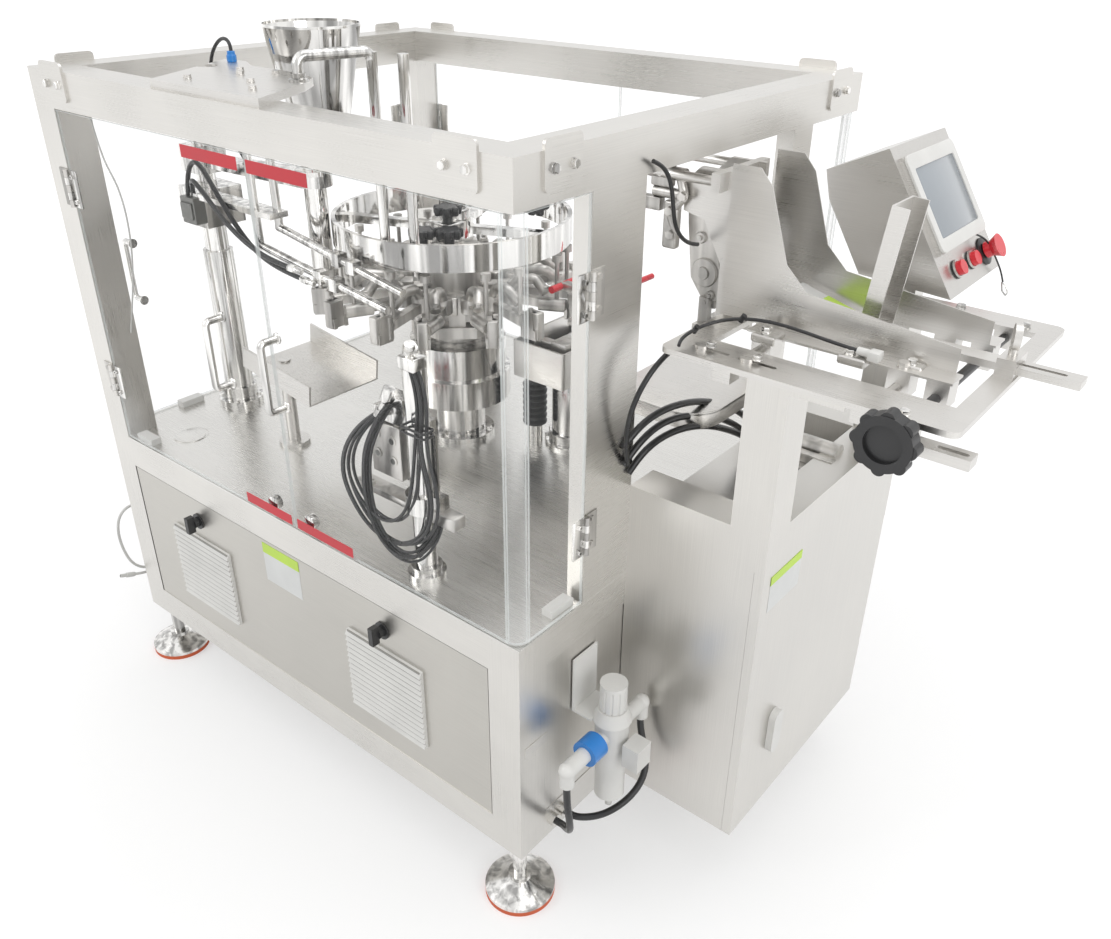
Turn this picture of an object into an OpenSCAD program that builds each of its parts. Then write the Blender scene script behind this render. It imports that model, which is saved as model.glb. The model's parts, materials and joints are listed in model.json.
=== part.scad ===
// Rotary bagger: an eight-station machine that fills and seals premade pouches.
// It is drawn from the left front corner of its main frame, then moved so that the
// middle of the whole footprint stands at the origin. The magazine end is +X, the
// doors face -Y and the feet stand on Z = 0. All sizes are in millimetres.

/* [Main frame] */
// Length of the main frame
frame_l = 1090; // [1000:5:1200]
// Depth of the main frame
frame_w = 900; // [850:5:1000]
// Height of the main frame's top beams
frame_h = 1240; // [1200:5:1300]
// Side of the square frame tube
tube = 62; // [50:1:70]
// Wall of the frame tube
tube_wall = 2.5; // [2:0.5:4]
// Gap between the floor and the frame
floor_gap = 120; // [110:1:150]
// Height of the deck's upper face
deck_z = 556; // [540:1:580]
// Thickness of the deck plate
deck_t = 3; // [2:0.5:5]
// Depth of the folded sheet posts on the magazine side
post_depth = 30; // [25:1:40]
// Width of the near sheet post
near_post_w = 115; // [90:1:120]
// Distance from the front face to the near sheet post
near_post_y = 147; // [140:1:160]
// Width of the far sheet post
far_post_w = 63; // [50:1:80]
// Distance from the front face to the far sheet post
far_post_y = 671; // [660:1:690]

/* [Corner lugs] */
// Width of a corner lug
lug_w = 70; // [60:1:90]
// Height of a corner lug
lug_h = 62; // [50:1:70]
// Thickness of a corner lug
lug_t = 4; // [3:0.5:6]
// Distance from the corner to a lug
lug_in = 50; // [40:1:60]
// How far a lug stands above the beam
lug_rise = 14; // [5:1:20]

/* [Feet] */
// Diameter of a levelling foot
foot_d = 120; // [100:5:140]
// Diameter of the foot's threaded stem
stem_d = 24; // [20:1:30]
// Thickness of the rubber pad
pad_t = 9; // [5:1:12]
// Height of the foot's steel cone
cone_h = 24; // [20:1:30]

/* [Panels and vents] */
// Gap round the front panel
panel_gap = 2; // [1:0.5:4]
// Thickness of the sheet panels
sheet_t = 2; // [1.5:0.5:3]
// Depth of the front panel's folded edge
panel_fold = 18; // [12:1:25]
// Width of a vent
vent_w = 182; // [150:1:200]
// Height of a vent
vent_h = 165; // [140:1:170]
// Slats in a vent
vent_slats = 14; // [8:1:18]
// Distance from the left corner to the left vent
vent_left_x = 178; // [160:1:200]
// Distance from the left corner to the right vent
vent_right_x = 700; // [600:1:720]
// Height of the vents' lower edge
vent_z = 238; // [215:1:245]
// Diameter of a lock's barrel
lock_d = 20; // [16:1:24]
// Height of the lock barrels
lock_z = 442; // [430:1:460]

/* [Doors] */
// Thickness of the acrylic sheet
acrylic_t = 5; // [4:1:8]
// Distance from the left corner to the doors' meeting line
door_split = 588; // [550:1:620]
// Gap between two doors
door_gap = 4; // [3:0.5:8]
// Outer radius of the corner doors' bend
bend_r = 25; // [15:1:30]
// Diameter of a hinge knuckle
knuckle_d = 9; // [8:0.5:12]
// Diameter of a hinge pin
pin_d = 5; // [4:0.5:6]
// Height of a hinge
hinge_h = 65; // [50:1:80]
// Width of a hinge leaf
leaf_w = 28; // [24:1:32]
// Distance from the deck up to the lower hinges' middle
hinge_low_in = 125; // [100:1:140]
// Distance from the top beams down to the upper hinges' middle
hinge_high_in = 132; // [100:1:150]
// Length of a door handle between its feet
handle_l = 115; // [96:1:128]
// Diameter of a door handle's bar
handle_d = 12; // [10:1:16]
// How far a handle stands out
handle_reach = 38; // [36:1:45]
// Height of the handles' middle
handle_z = 850; // [800:1:900]

/* [Carousel] */
// Radius on which the pouches hang
grip_r = 240; // [235:1:245]
// Half the distance between a pouch's two grippers
grip_half = 58; // [52:1:60]
// Diameter of the fixed mast
mast_d = 40; // [36:1:44]
// Outer diameter of the turret's hollow shaft
shaft_d = 60; // [56:1:64]
// Radial clearance of the running fits
run_gap = 0.05; // [0.03:0.01:0.1]
// Across the flats of the octagonal turret plate
plate_af = 170; // [160:1:176]
// Thickness of the octagonal plate
plate_t = 22; // [18:1:26]
// Height of the octagonal plate's upper face
plate_z = 807; // [800:1:812]
// Outer radius of the cam ring
ring_r = 217; // [205:1:217]
// Height of the cam ring
ring_h = 46; // [40:1:46]
// Height of the cam ring's upper edge
ring_z = 1000; // [998:1:1010]

/* [Filling station] */
// Diameter of the filler column
column_d = 36; // [32:1:40]
// Distance from the left corner to the filler column
column_x = 85; // [80:1:95]
// Distance from the front face to the filler column
column_y = 250; // [240:1:260]
// Height of the filler column's top
column_top = 1104; // [1095:1:1110]
// Rim radius of the hopper
hopper_r = 80; // [76:1:84]
// Height of the hopper's rim
hopper_z = 1312; // [1300:1:1320]
// Radius of the filling spout
spout_r = 20; // [16:1:22]
// Wall of the hopper
hopper_wall = 2; // [1.5:0.5:3]

/* [Cabinet and stand] */
// Width of the side cabinet
cab_l = 237; // [220:1:260]
// Depth of the side cabinet
cab_w = 470; // [440:1:480]
// Height of the side cabinet
cab_h = 531; // [500:1:540]
// Distance from the front face to the cabinet
cab_y = 260; // [255:1:265]
// Thickness of the stand's two upper beams
stand_beam_t = 16; // [12:1:20]

/* [Magazine] */
// Gap between the main frame and the magazine table
table_gap = 48; // [40:1:55]
// Length of the magazine table
table_l = 409; // [400:1:420]
// Distance from the front face to the table
table_y = 240; // [235:1:245]
// Width of the magazine table
table_w = 435; // [425:1:440]
// Thickness of the table plate
table_t = 8; // [6:1:10]
// Distance from the top of the main frame down to the table's upper face
table_drop = 280; // [276:1:282]
// Distance between the two side guides
guide_gap = 124; // [110:1:130]
// Thickness of a side guide
guide_t = 2; // [1.5:0.5:3]
// Height of a side guide above the table
guide_h = 218; // [200:1:225]
// Diameter of the cross rods and the screw
cross_d = 14; // [12:1:15]
// Diameter of the handwheel
wheel_d = 82; // [70:1:90]
// How far the centre bar reaches past the table
bar_reach = 75; // [60:1:90]

/* [Console] */
// Width of the console
console_w = 230; // [210:1:230]
// Length of the console's sloping face
console_l = 250; // [240:1:260]
// Depth of the console
console_d = 106; // [90:1:110]
// Backward lean of the console
console_tilt = 33; // [28:1:36]
// Diameter of the push buttons
button_d = 24; // [20:1:26]
// Diameter of the emergency stop
stop_d = 40; // [36:1:42]

/* [Air and cables] */
// Outer diameter of the air hoses
hose_d = 12; // [10:1:12]
// Diameter of the sensor cable bundle
loom_d = 14; // [10:1:16]
// Diameter of the side cable
side_cable_d = 6; // [5:0.5:7]
// Distance from the frame's side to the regulator's axis
reg_out = 60; // [55:1:70]
// Distance from the front face to the regulator's axis
reg_y = 155; // [150:1:160]
// Height of the regulator's ports
port_z = 330; // [320:1:340]

/* [Hidden] */
$fn = 48;

seat = 0.3;
table_x = frame_l + table_gap;
table_z = frame_h - table_drop;
stand_top = table_z - table_t - stand_beam_t;
axis_x = frame_l / 2;
axis_y = frame_w / 2;
bar_end = table_x + table_l + bar_reach;
mid_x = (bar_end - handle_reach) / 2;
mid_y = frame_w / 2;
stations = 8;
station_step = 360 / stations;
rail_top = deck_z - deck_t;
beam_z = frame_h - tube;
hinge_low_z = deck_z + hinge_low_in;
hinge_high_z = beam_z - hinge_high_in;
window_low = floor_gap + tube;
window_high = rail_top - tube;
door_low = deck_z + 2.5;
door_high = beam_z - 2;
panel_x0 = tube + panel_gap;
panel_x1 = frame_l - tube - panel_gap;
cone_low = pad_t;
cone_top = pad_t + cone_h;
nut_h = 18;
plug_t = tube_wall;
// How far a welded or glued piece reaches into the solid that carries it
fuse = 0.5;
hinge_off = knuckle_d / 2 + 0.5;
cam_z = ring_z - ring_h;
arm_z = plate_z + 42;
arm_t = 16;
claw_low = arm_z - 14;
claw_high = arm_z + 34;
pivot_r = 112;
pivot_side = 24;
pivot_d = 10;
fill_angle = 225;
fill_x = axis_x + grip_r * cos(fill_angle);
fill_y = axis_y + grip_r * sin(fill_angle);
cab_x = frame_l;
cab_z = floor_gap + 1;
cab_top = cab_z + cab_h;
cab_right = cab_x + cab_l;
cab_back = cab_y + cab_w;
door_fold = 16;
stand_low = cab_top;
table_low = table_z - table_t;
table_right = table_x + table_l;
table_back = table_y + table_w;
table_mid = table_y + table_w / 2;
rod_z = table_low - cross_d / 2 - 4;
screw_x = table_right - 69;
rod_near_x = table_x + 92;
rod_far_x = table_right - 120;
window_y0 = table_y + 69;
window_y1 = table_back - 51;
near_face = table_mid - guide_gap / 2;
far_face = table_mid + guide_gap / 2;
bar_w = 30;
bar_t = 10;
bar_z = table_z + 5;
console_x = table_x + 97;
console_y = table_back + 25;
console_z = table_z + 204;
button_s = 214;
feeder_x = table_x - 62;
feeder_z = table_z + 159;
cheek_half = 38;
cheek_t = 8;
rail_half = 60;
rail_z = feeder_z + 30;
reg_x = frame_l + reg_out;
gland_z = 151;
glands = [78, 104];
side_gland = [84, 196];

// Routes of the hoses and cables, each a list of points along its middle line
INLET_ROUTE = [[1150, 40, 300], [1150, 40, 285], [1151, 40, 263], [1152, 42, 240], [1152, 46, 217],
    [1149, 52, 195], [1142, 60, 176], [1131, 68, 162], [1115, 78, 152], [1108, 78, 151], [1100, 78, 151]];
OUTLET_ROUTE = [[1150, 238, 300], [1150, 238, 284], [1154, 238, 262], [1162, 236, 240],
    [1172, 230, 218], [1178, 218, 198], [1178, 200, 181], [1173, 178, 168], [1164, 156, 159],
    [1152, 137, 152], [1136, 121, 148], [1120, 106, 150], [1108, 104, 151], [1100, 104, 151]];
SENSOR_ROUTE = [[806, 47, 838], [806, 38, 838], [802, 28, 826], [792, 24, 806], [779, 23, 782],
    [767, 24, 756], [759, 26, 726], [755, 27, 694], [757, 27, 662], [766, 26, 634],
    [782, 25, 612], [804, 24, 598], [828, 24, 593], [850, 26, 598], [867, 31, 610],
    [878, 40, 628], [885, 49, 648], [887, 54, 666], [887, 54, 680], [887, 54, 690]];
SIDE_ROUTE = [[-54, -2, 172], [-54, 14, 166], [-53, 32, 163], [-50, 50, 166], [-46, 64, 176],
    [-42, 74, 192], [-38, 80, 210], [-35, 83, 230], [-34, 84, 250], [-34, 82, 270],
    [-35, 77, 290], [-38, 68, 308], [-42, 56, 324], [-46, 42, 336], [-50, 27, 342],
    [-54, 12, 338], [-58, 0, 326], [-60, -8, 310], [-61, -12, 290], [-61, -13, 270],
    [-60, -12, 250], [-59, -9, 230], [-58, -4, 210], [-57, 4, 194], [-55, 17, 180],
    [-51, 33, 174], [-46, 50, 176], [-40, 66, 182], [-32, 78, 190], [-24, 84, 195], [-18, 84, 196], [-14, 84, 196]];

module placed() translate([-mid_x, -mid_y, 0]) children();

// A box between two opposite corners
module span(a, b) translate(a) cube(b - a);

// A round bar between two points
module rod(a, b, d) {
    v = b - a;
    l = norm(v);
    translate(a)
        rotate([0, acos(v[2] / l), atan2(v[1], v[0])])
            cylinder(h = l, d = d);
}

// A flat plate with round corners, standing on Z = 0
module round_plate(l, w, t, r) {
    linear_extrude(height = t)
        union() {
            translate([r, 0]) square([l - 2 * r, w]);
            translate([0, r]) square([l, w - 2 * r]);
            for (x = [r, l - r], y = [r, w - r]) translate([x, y]) circle(r = r, $fn = 32);
        }
}

// A slot along X, centred on the origin
module slot(l, w, t) {
    cube([l - w, w, t], center = true);
    for (s = [-1, 1]) translate([s * (l - w) / 2, 0, 0]) cylinder(h = t, d = w, center = true);
}

// A hexagon bolt head with its washer, standing on Z = 0
module bolt_head(d) {
    cylinder(h = 0.25 * d, d = 2.1 * d, $fn = 32);
    translate([0, 0, 0.25 * d]) cylinder(h = 0.65 * d, d = 1.9 * d, $fn = 6);
}

// Points of a ring round a route's point, in the plane across the route
function unit(v) = v / norm(v);
function heading(r, i) = unit(r[min(i + 1, len(r) - 1)] - r[max(i - 1, 0)]);
function tube_ring(r, i, d, n, up) = let (t = heading(r, i), u = unit(cross(t, up)), v = cross(t, u))
    [for (k = [0 : n - 1]) r[i] + d / 2 * (cos(360 * k / n) * u + sin(360 * k / n) * v)];

// A round cord swept along a route, its rings turned towards a direction the route never takes
module cord(route, d, up = [1, -1, 1], n = 8) {
    rings = len(route);
    points = [for (i = [0 : rings - 1]) each tube_ring(route, i, d, n, up)];
    walls = [for (i = [0 : rings - 2], k = [0 : n - 1])
        [i * n + k, (i + 1) * n + k, (i + 1) * n + (k + 1) % n, i * n + (k + 1) % n]];
    near_cap = [for (k = [0 : n - 1]) k];
    far_cap = [for (k = [0 : n - 1]) rings * n - 1 - k];
    polyhedron(points, concat(walls, [near_cap, far_cap]));
}

// The bars of the lower frame, drawn smaller for their hollow inside
module lower_bars(inset) {
    low = floor_gap - (inset > 0 ? 1 : 0);
    for (x = [0, frame_l - tube], y = [0, frame_w - tube])
        span([x + inset, y + inset, low], [x + tube - inset, y + tube - inset, rail_top - inset]);
    for (z = [floor_gap, rail_top - tube], y = [0, frame_w - tube])
        span([inset, y + inset, z + inset], [frame_l - inset, y + tube - inset, z + tube - inset]);
    for (z = [floor_gap, rail_top - tube], x = [0, frame_l - tube])
        span([x + inset, inset, z + inset], [x + tube - inset, frame_w - inset, z + tube - inset]);
}

module base_frame() color("gainsboro") placed() {
    difference() {
        lower_bars(0);
        lower_bars(tube_wall);
    }
    for (x = [tube / 2, frame_l - tube / 2], y = [tube / 2, frame_w - tube / 2])
        difference() {
            translate([x - tube / 2 + tube_wall, y - tube / 2 + tube_wall, floor_gap])
                cube([tube - 2 * tube_wall, tube - 2 * tube_wall, plug_t]);
            translate([x, y, floor_gap - 1]) cylinder(h = plug_t + 2, d = stem_d + 2 * run_gap);
        }
    for (y = glands) translate([frame_l, y, gland_z]) rotate([0, 90, 0])
        cylinder(h = 10, d = hose_d + 9);
}

module base_panels() color("lightgray") placed() {
    inner = tube;
    for (x = [1, frame_l - 1 - sheet_t])
        span([x, inner, window_low], [x + sheet_t, frame_w - inner, window_high]);
    span([inner, frame_w - 1 - sheet_t, window_low], [frame_l - inner, frame_w - 1, window_high]);
    span([inner, inner, floor_gap + 20], [frame_l - inner, frame_w - inner, floor_gap + 20 + sheet_t]);
    translate([1, side_gland[0], side_gland[1]]) rotate([0, -90, 0]) cylinder(h = 15, d = side_cable_d + 10);
}

module front_panel() color("whitesmoke") placed() {
    difference() {
        span([panel_x0, 1, window_low], [panel_x1, panel_fold, window_high - panel_gap]);
        span([panel_x0 + sheet_t, 1 + sheet_t, window_low + sheet_t],
            [panel_x1 - sheet_t, panel_fold + 1, window_high - panel_gap - sheet_t]);
        for (x = [vent_left_x, vent_right_x])
            translate([x + vent_w / 2, 0, lock_z]) rotate([-90, 0, 0])
                cylinder(h = 10, d = lock_d + 2 * run_gap);
    }
}

// One louvred vent with its lower left corner at the origin
module vent() {
    pitch = vent_h / vent_slats;
    outline = concat([[0, 0]], [for (i = [0 : vent_slats - 1])
        each [[-9, i * pitch + 1], [-4, (i + 1) * pitch - 1]]], [[0, vent_h]]);
    rotate([90, 0, 90]) linear_extrude(height = vent_w) polygon(outline);
}

module vent_grilles() color("white") placed()
    for (x = [vent_left_x, vent_right_x]) translate([x, 1, vent_z]) vent();

// A quarter-turn lock with its wing outside and its cam behind the panel
module panel_lock(x) color("dimgray") placed() translate([x + vent_w / 2, 0, lock_z]) {
    rotate([-90, 0, 0]) translate([0, 0, -12]) cylinder(h = 12 + panel_fold + 6, d = lock_d);
    rotate([-90, 0, 0]) translate([0, 0, -2]) cylinder(h = 2.7, d = lock_d + 12);
    translate([-5, -26, -17]) cube([10, 15, 34]);
    translate([-9, panel_fold + 2, 0]) cube([18, 3, 32]);
}

module lock_left() panel_lock(vent_left_x);
module lock_right() panel_lock(vent_right_x);

module deck_plate() color("silver") placed() {
    difference() {
        span([0, 0, rail_top], [frame_l, frame_w, deck_z]);
        for (y = [-1, frame_w - tube]) span([-1, y, rail_top - 1], [tube, y + tube + 1, deck_z + 1]);
        translate([axis_x, axis_y, rail_top - 1]) cylinder(h = deck_t + 2, d = shaft_d + 4);
        translate([151, 87, deck_z - 1]) difference() {
            cylinder(h = 2, d = 62);
            translate([0, 0, -1]) cylinder(h = 4, d = 60);
        }
    }
}

// The bars of the upper frame, drawn smaller for their hollow inside
module upper_bars(inset) {
    low = rail_top - (inset > 0 ? 1 : 0);
    for (y = [0, frame_w - tube])
        span([inset, y + inset, low], [tube - inset, y + tube - inset, frame_h - inset]);
    for (y = [0, frame_w - tube])
        span([inset, y + inset, beam_z + inset], [frame_l - inset, y + tube - inset, frame_h - inset]);
    for (x = [0, frame_l - tube])
        span([x + inset, inset, beam_z + inset], [x + tube - inset, frame_w - inset, frame_h - inset]);
}

// A folded sheet post, open towards the inside of the machine
module sheet_post(y, w) {
    wall = 3;
    difference() {
        span([frame_l - post_depth, y, deck_z], [frame_l, y + w, beam_z]);
        span([frame_l - post_depth - 1, y + wall, deck_z - 1],
            [frame_l - wall, y + w - wall, beam_z + 1]);
    }
}

// A lug plate with two bolts, lying on the XZ plane and facing -Y
module lug() {
    rotate([90, 0, 0]) {
        round_plate(lug_w, lug_h, lug_t, 8);
        for (x = [lug_w / 2 - 17, lug_w / 2 + 17])
            translate([x, lug_h / 2 - 4, lug_t]) bolt_head(6);
    }
}

module upper_frame() color("gainsboro") placed() {
    z = frame_h + lug_rise - lug_h;
    difference() {
        upper_bars(0);
        upper_bars(tube_wall);
    }
    sheet_post(near_post_y, near_post_w);
    sheet_post(far_post_y, far_post_w);
    for (x = [lug_in, frame_l - lug_in - lug_w]) {
        translate([x, 0, z]) lug();
        translate([x + lug_w, frame_w, z]) rotate([0, 0, 180]) lug();
    }
    for (y = [lug_in, frame_w - lug_in - lug_w]) {
        translate([frame_l, y, z]) rotate([0, 0, 90]) lug();
        translate([0, y + lug_w, z]) rotate([0, 0, -90]) lug();
    }
}

// The cover plate over the front beam, with its air fitting and the stay rod beside it
module top_cover() color("silver") placed() {
    top = frame_h + 12;
    difference() {
        translate([0, 0, frame_h]) linear_extrude(height = top - frame_h)
            polygon([[365, 8], [630, 8], [563, 138], [530, 180], [450, 198], [352, 198], [300, 225], [250, 220]]);
        translate([0, 0, frame_h - 1]) linear_extrude(height = top - frame_h - sheet_t + 1)
            polygon([[372, 20], [612, 20], [556, 132], [525, 174], [448, 192], [350, 192], [299, 218], [260, 214]]);
        translate([300, 150, top - 5]) cylinder(h = 6, d = 34);
    }
    translate([290, 205, top - sheet_t]) cylinder(h = sheet_t + 16, d = 10);
    for (p = [[390, 150], [425, 125], [460, 165], [500, 90], [560, 50], [400, 50]])
        translate([p[0], p[1], top]) bolt_head(6);
}

module levelling_feet() color("silver") placed()
    for (x = [tube / 2, frame_l - tube / 2], y = [tube / 2, frame_w - tube / 2]) translate([x, y, 0]) {
        translate([0, 0, cone_low]) rotate_extrude()
            polygon([[0, 0], [foot_d / 2, 0], [foot_d / 2, 6], [stem_d / 2 + 8, cone_h],
                [stem_d / 2 + 8, cone_h + 8], [0, cone_h + 8]]);
        translate([0, 0, cone_top + 8]) cylinder(h = floor_gap + plug_t + 20 - cone_top - 8, d = stem_d);
        translate([0, 0, floor_gap - nut_h - 2]) cylinder(h = nut_h, d = 1.7 * stem_d, $fn = 6);
        translate([0, 0, floor_gap - 2]) cylinder(h = 2, d = 1.9 * stem_d);
    }

module foot_pads() color("orangered") placed()
    for (x = [tube / 2, frame_l - tube / 2], y = [tube / 2, frame_w - tube / 2])
        translate([x, y, 0]) cylinder(h = pad_t, d = foot_d);

// One hinge seen from outside: its axis at the origin along Z, fixed leaf to -X, moving leaf to +X
module hinge_half(moving, leaf = leaf_w) {
    s = moving ? 1 : -1;
    part = hinge_h / 5;
    root = pin_d / 2 + 0.5;
    inner = knuckle_d / 2 + 0.6;
    for (k = moving ? [1, 3] : [0, 2, 4]) translate([0, 0, k * part - hinge_h / 2 + seat / 2]) {
        difference() {
            cylinder(h = part - seat, d = knuckle_d);
            if (moving) translate([0, 0, -1]) cylinder(h = part + 2, d = pin_d + 2 * run_gap);
        }
        translate([s > 0 ? root : -inner, hinge_off - sheet_t, 0])
            cube([inner - root, sheet_t, part - seat]);
    }
    translate([s > 0 ? inner : -leaf, hinge_off - sheet_t, -hinge_h / 2])
        cube([leaf - inner, sheet_t + (moving ? fuse : 0), hinge_h]);
    if (!moving) translate([0, 0, -hinge_h / 2]) cylinder(h = hinge_h, d = pin_d);
    for (z = [-hinge_h / 3, hinge_h / 3])
        translate([s * (leaf + inner) / 2, hinge_off - sheet_t, z]) rotate([90, 0, 0])
            cylinder(h = 2.5, d = min(9, leaf - inner - 2), $fn = 32);
}

// A bowed handle standing off -Y, centred on the origin
module handle() {
    for (z = [-handle_l / 2, handle_l / 2])
        rotate([90, 0, 0]) translate([0, z, 0]) cylinder(h = handle_reach - handle_d / 2, d = handle_d);
    translate([0, handle_d / 2 - handle_reach, -handle_l / 2]) cylinder(h = handle_l, d = handle_d);
    for (z = [-handle_l / 2, handle_l / 2])
        translate([0, handle_d / 2 - handle_reach, z]) sphere(d = handle_d);
}

// Places its children at both hinges of a door whose axis stands at x, y, turned by a
module at_hinges(x, y, a)
    for (z = [hinge_low_z, hinge_high_z]) translate([x, y, z]) rotate([0, 0, a]) children();

left_axis = [tube + 1, -hinge_off];
right_axis = [frame_l + hinge_off, near_post_y - 1];
side_axis = [-hinge_off, frame_w - tube - 1];
back_axis = [tube + 1, frame_w + hinge_off];

module door_hinges() color("silver") placed() {
    at_hinges(left_axis[0], left_axis[1], 0) hinge_half(false);
    at_hinges(right_axis[0], right_axis[1], 90) mirror([1, 0, 0]) hinge_half(false);
    at_hinges(side_axis[0], side_axis[1], -90) hinge_half(false);
    at_hinges(back_axis[0], back_axis[1], 180) mirror([1, 0, 0]) hinge_half(false);
}

module front_door_left() color("azure", 0.4) placed() {
    x1 = door_split - door_gap / 2;
    span([tube + 2, 0, door_low], [x1, acrylic_t, door_high]);
    at_hinges(left_axis[0], left_axis[1], 0) hinge_half(true);
    translate([x1 - 116, 0, handle_z]) handle();
    translate([x1 - 64, acrylic_t, door_low + 20]) rotate([-90, 0, 0]) cylinder(h = 14, d = 26);
}

// The plan of the corner within a bent sheet, drawn smaller by an inset
module corner_outline(x0, y1, inset) {
    translate([x0, inset]) square([frame_l - bend_r - x0, y1 - inset]);
    translate([x0, bend_r]) square([frame_l - inset - x0, y1 - bend_r]);
    translate([frame_l - bend_r, bend_r]) circle(r = bend_r - inset);
}

// An acrylic sheet bent round the corner at the frame's right front
module corner_sheet(x0, y1, low, high) {
    translate([0, 0, low]) linear_extrude(height = high - low) {
        difference() {
            corner_outline(x0, y1, 0);
            corner_outline(x0 - 1, y1 + 1, acrylic_t);
        }
    }
}

module front_door_right() color("azure", 0.4) placed() {
    x0 = door_split + door_gap / 2;
    corner_sheet(x0, near_post_y - 2, door_low, door_high);
    at_hinges(right_axis[0], right_axis[1], 90) mirror([1, 0, 0]) hinge_half(true);
    translate([x0 + 21, 0, handle_z]) handle();
    translate([x0 + 30, acrylic_t, door_low + 20]) rotate([-90, 0, 0]) cylinder(h = 14, d = 26);
}

module side_door() color("azure", 0.4) placed() {
    span([0, tube + 2, door_low], [acrylic_t, frame_w - tube - 2, door_high]);
    at_hinges(side_axis[0], side_axis[1], -90) hinge_half(true);
    translate([0, tube + 60, handle_z]) rotate([0, 0, -90]) handle();
}

module back_door() color("azure", 0.4) placed() {
    x1 = door_split - door_gap / 2;
    span([tube + 2, frame_w - acrylic_t, door_low], [x1, frame_w, door_high]);
    at_hinges(back_axis[0], back_axis[1], 180) mirror([1, 0, 0]) hinge_half(true);
    translate([x1 - 60, frame_w, handle_z]) rotate([0, 0, 180]) handle();
}

// The fixed guard at the right back corner, with its two clips
module back_guard() color("azure", 0.4) placed() {
    x0 = door_split + door_gap / 2;
    far_end = far_post_y + far_post_w;
    translate([0, frame_w, 0]) mirror([0, 1, 0])
        corner_sheet(x0, frame_w - far_end, deck_z, beam_z);
}

module door_catches() color("white") placed() {
    span([8, 145, deck_z], [28, 195, deck_z + 12]);
    span([84, 8, deck_z], [134, 28, deck_z + 12]);
    span([frame_l - 30, near_post_y - 60, deck_z], [frame_l - 10, near_post_y - 10, deck_z + 12]);
    span([84, frame_w - 28, deck_z], [134, frame_w - 8, deck_z + 12]);
}

// The fixed pedestal that carries the turret
module pedestal() color("silver") placed() translate([axis_x, axis_y, 0])
    difference() {
        union() {
            translate([0, 0, deck_z]) cylinder(h = 10, d = 132);
            translate([0, 0, deck_z]) cylinder(h = 89, d = 96);
            translate([0, 0, deck_z + 89]) cylinder(h = 55, r = 100);
            translate([0, 0, deck_z + 144]) cylinder(h = 62, r = 92);
            for (a = [30 : 60 : 330]) rotate([0, 0, a]) translate([57, 0, deck_z + 10]) bolt_head(6);
        }
        translate([0, 0, deck_z - 1]) cylinder(h = 220, d = shaft_d + 2 * run_gap);
    }

pedestal_top = deck_z + 206;
turret_low = deck_z - 56;
hub_top = cam_z - 18;

// The indexing turret: hollow shaft, octagonal plate and hub
module turret() color("gainsboro") placed() translate([axis_x, axis_y, 0])
    difference() {
        union() {
            translate([0, 0, turret_low]) cylinder(h = plate_z - turret_low, d = shaft_d);
            translate([0, 0, pedestal_top + seat]) cylinder(h = plate_z - pedestal_top - seat, r = 46);
            translate([0, 0, plate_z - plate_t]) rotate([0, 0, station_step / 2])
                cylinder(h = plate_t, d = plate_af / cos(station_step / 2), $fn = stations);
            translate([0, 0, plate_z - 1]) cylinder(h = hub_top - plate_z + 1, r = 52);
            for (k = [0 : stations - 1]) rotate([0, 0, k * station_step]) {
                translate([40, -15, plate_z - 2]) cube([38, 30, arm_z + arm_t - plate_z + 2]);
                translate([60, pivot_side - 9, arm_z - 16 - seat]) cube([pivot_r - 60 + 10, 18, 15]);
                translate([pivot_r, pivot_side, arm_z - 15 - seat]) cylinder(h = arm_t + 21, d = pivot_d);
            }
        }
        translate([0, 0, turret_low - 1])
            cylinder(h = hub_top - turret_low + 2, d = mast_d + 2 * run_gap);
    }

// The fixed mast with the polished cam ring and its spokes
module cam_ring() color("silver") placed() translate([axis_x, axis_y, 0]) {
    translate([0, 0, turret_low - 52]) cylinder(h = ring_z + 42 - turret_low + 52, d = mast_d);
    translate([0, 0, cam_z + 4]) cylinder(h = 30, r = 38);
    difference() {
        translate([0, 0, cam_z]) cylinder(h = ring_h, r = ring_r, $fn = 96);
        translate([0, 0, cam_z - 1]) cylinder(h = ring_h + 2, r = ring_r - 8, $fn = 96);
    }
    for (a = [22.5 : 90 : 292.5]) rotate([0, 0, a])
        translate([30, -10, cam_z + 10]) cube([ring_r - 34, 20, 14]);
    rod_foot = [ring_r - 20, 0, 0];
    for (a = [-80, -64]) rotate([0, 0, a]) {
        translate([rod_foot[0], 0, cam_z + 10]) cylinder(h = 12, d = 38);
        translate([rod_foot[0], 0, cam_z + 20]) cylinder(h = frame_h + 46 - cam_z - 20, d = 17);
    }
}

// The claw that holds one edge of a pouch, its inner corner at the origin
module claw() {
    translate([-10, 0, claw_low - arm_z]) cube([20, 12, claw_high - claw_low]);
    translate([-16, -12, claw_low - arm_z]) cube([7, 24, 18]);
    translate([8, -12, claw_low - arm_z]) cube([7, 24, 18]);
    translate([0, 6, claw_high - arm_z]) cylinder(h = 6, d = 9);
}

// A gripper arm in its station's frame: root at r0, side offset s0, claw at the grip radius
module arm_bar(r0, s0) {
    a = atan2(grip_half - s0, grip_r - 12 - r0);
    l = norm([grip_half - s0, grip_r - 12 - r0]);
    translate([r0, s0, 0]) rotate([0, 0, a]) translate([0, -8, 0]) cube([l, 16, arm_t]);
    translate([grip_r, grip_half, 0]) claw();
    translate([grip_r - 36, grip_half - 8, arm_t]) cylinder(h = cam_z - 6 - arm_z - arm_t, d = 8);
    translate([grip_r - 36, grip_half - 8, cam_z - 18 - arm_z]) cylinder(h = 12, d = 18);
}

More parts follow.
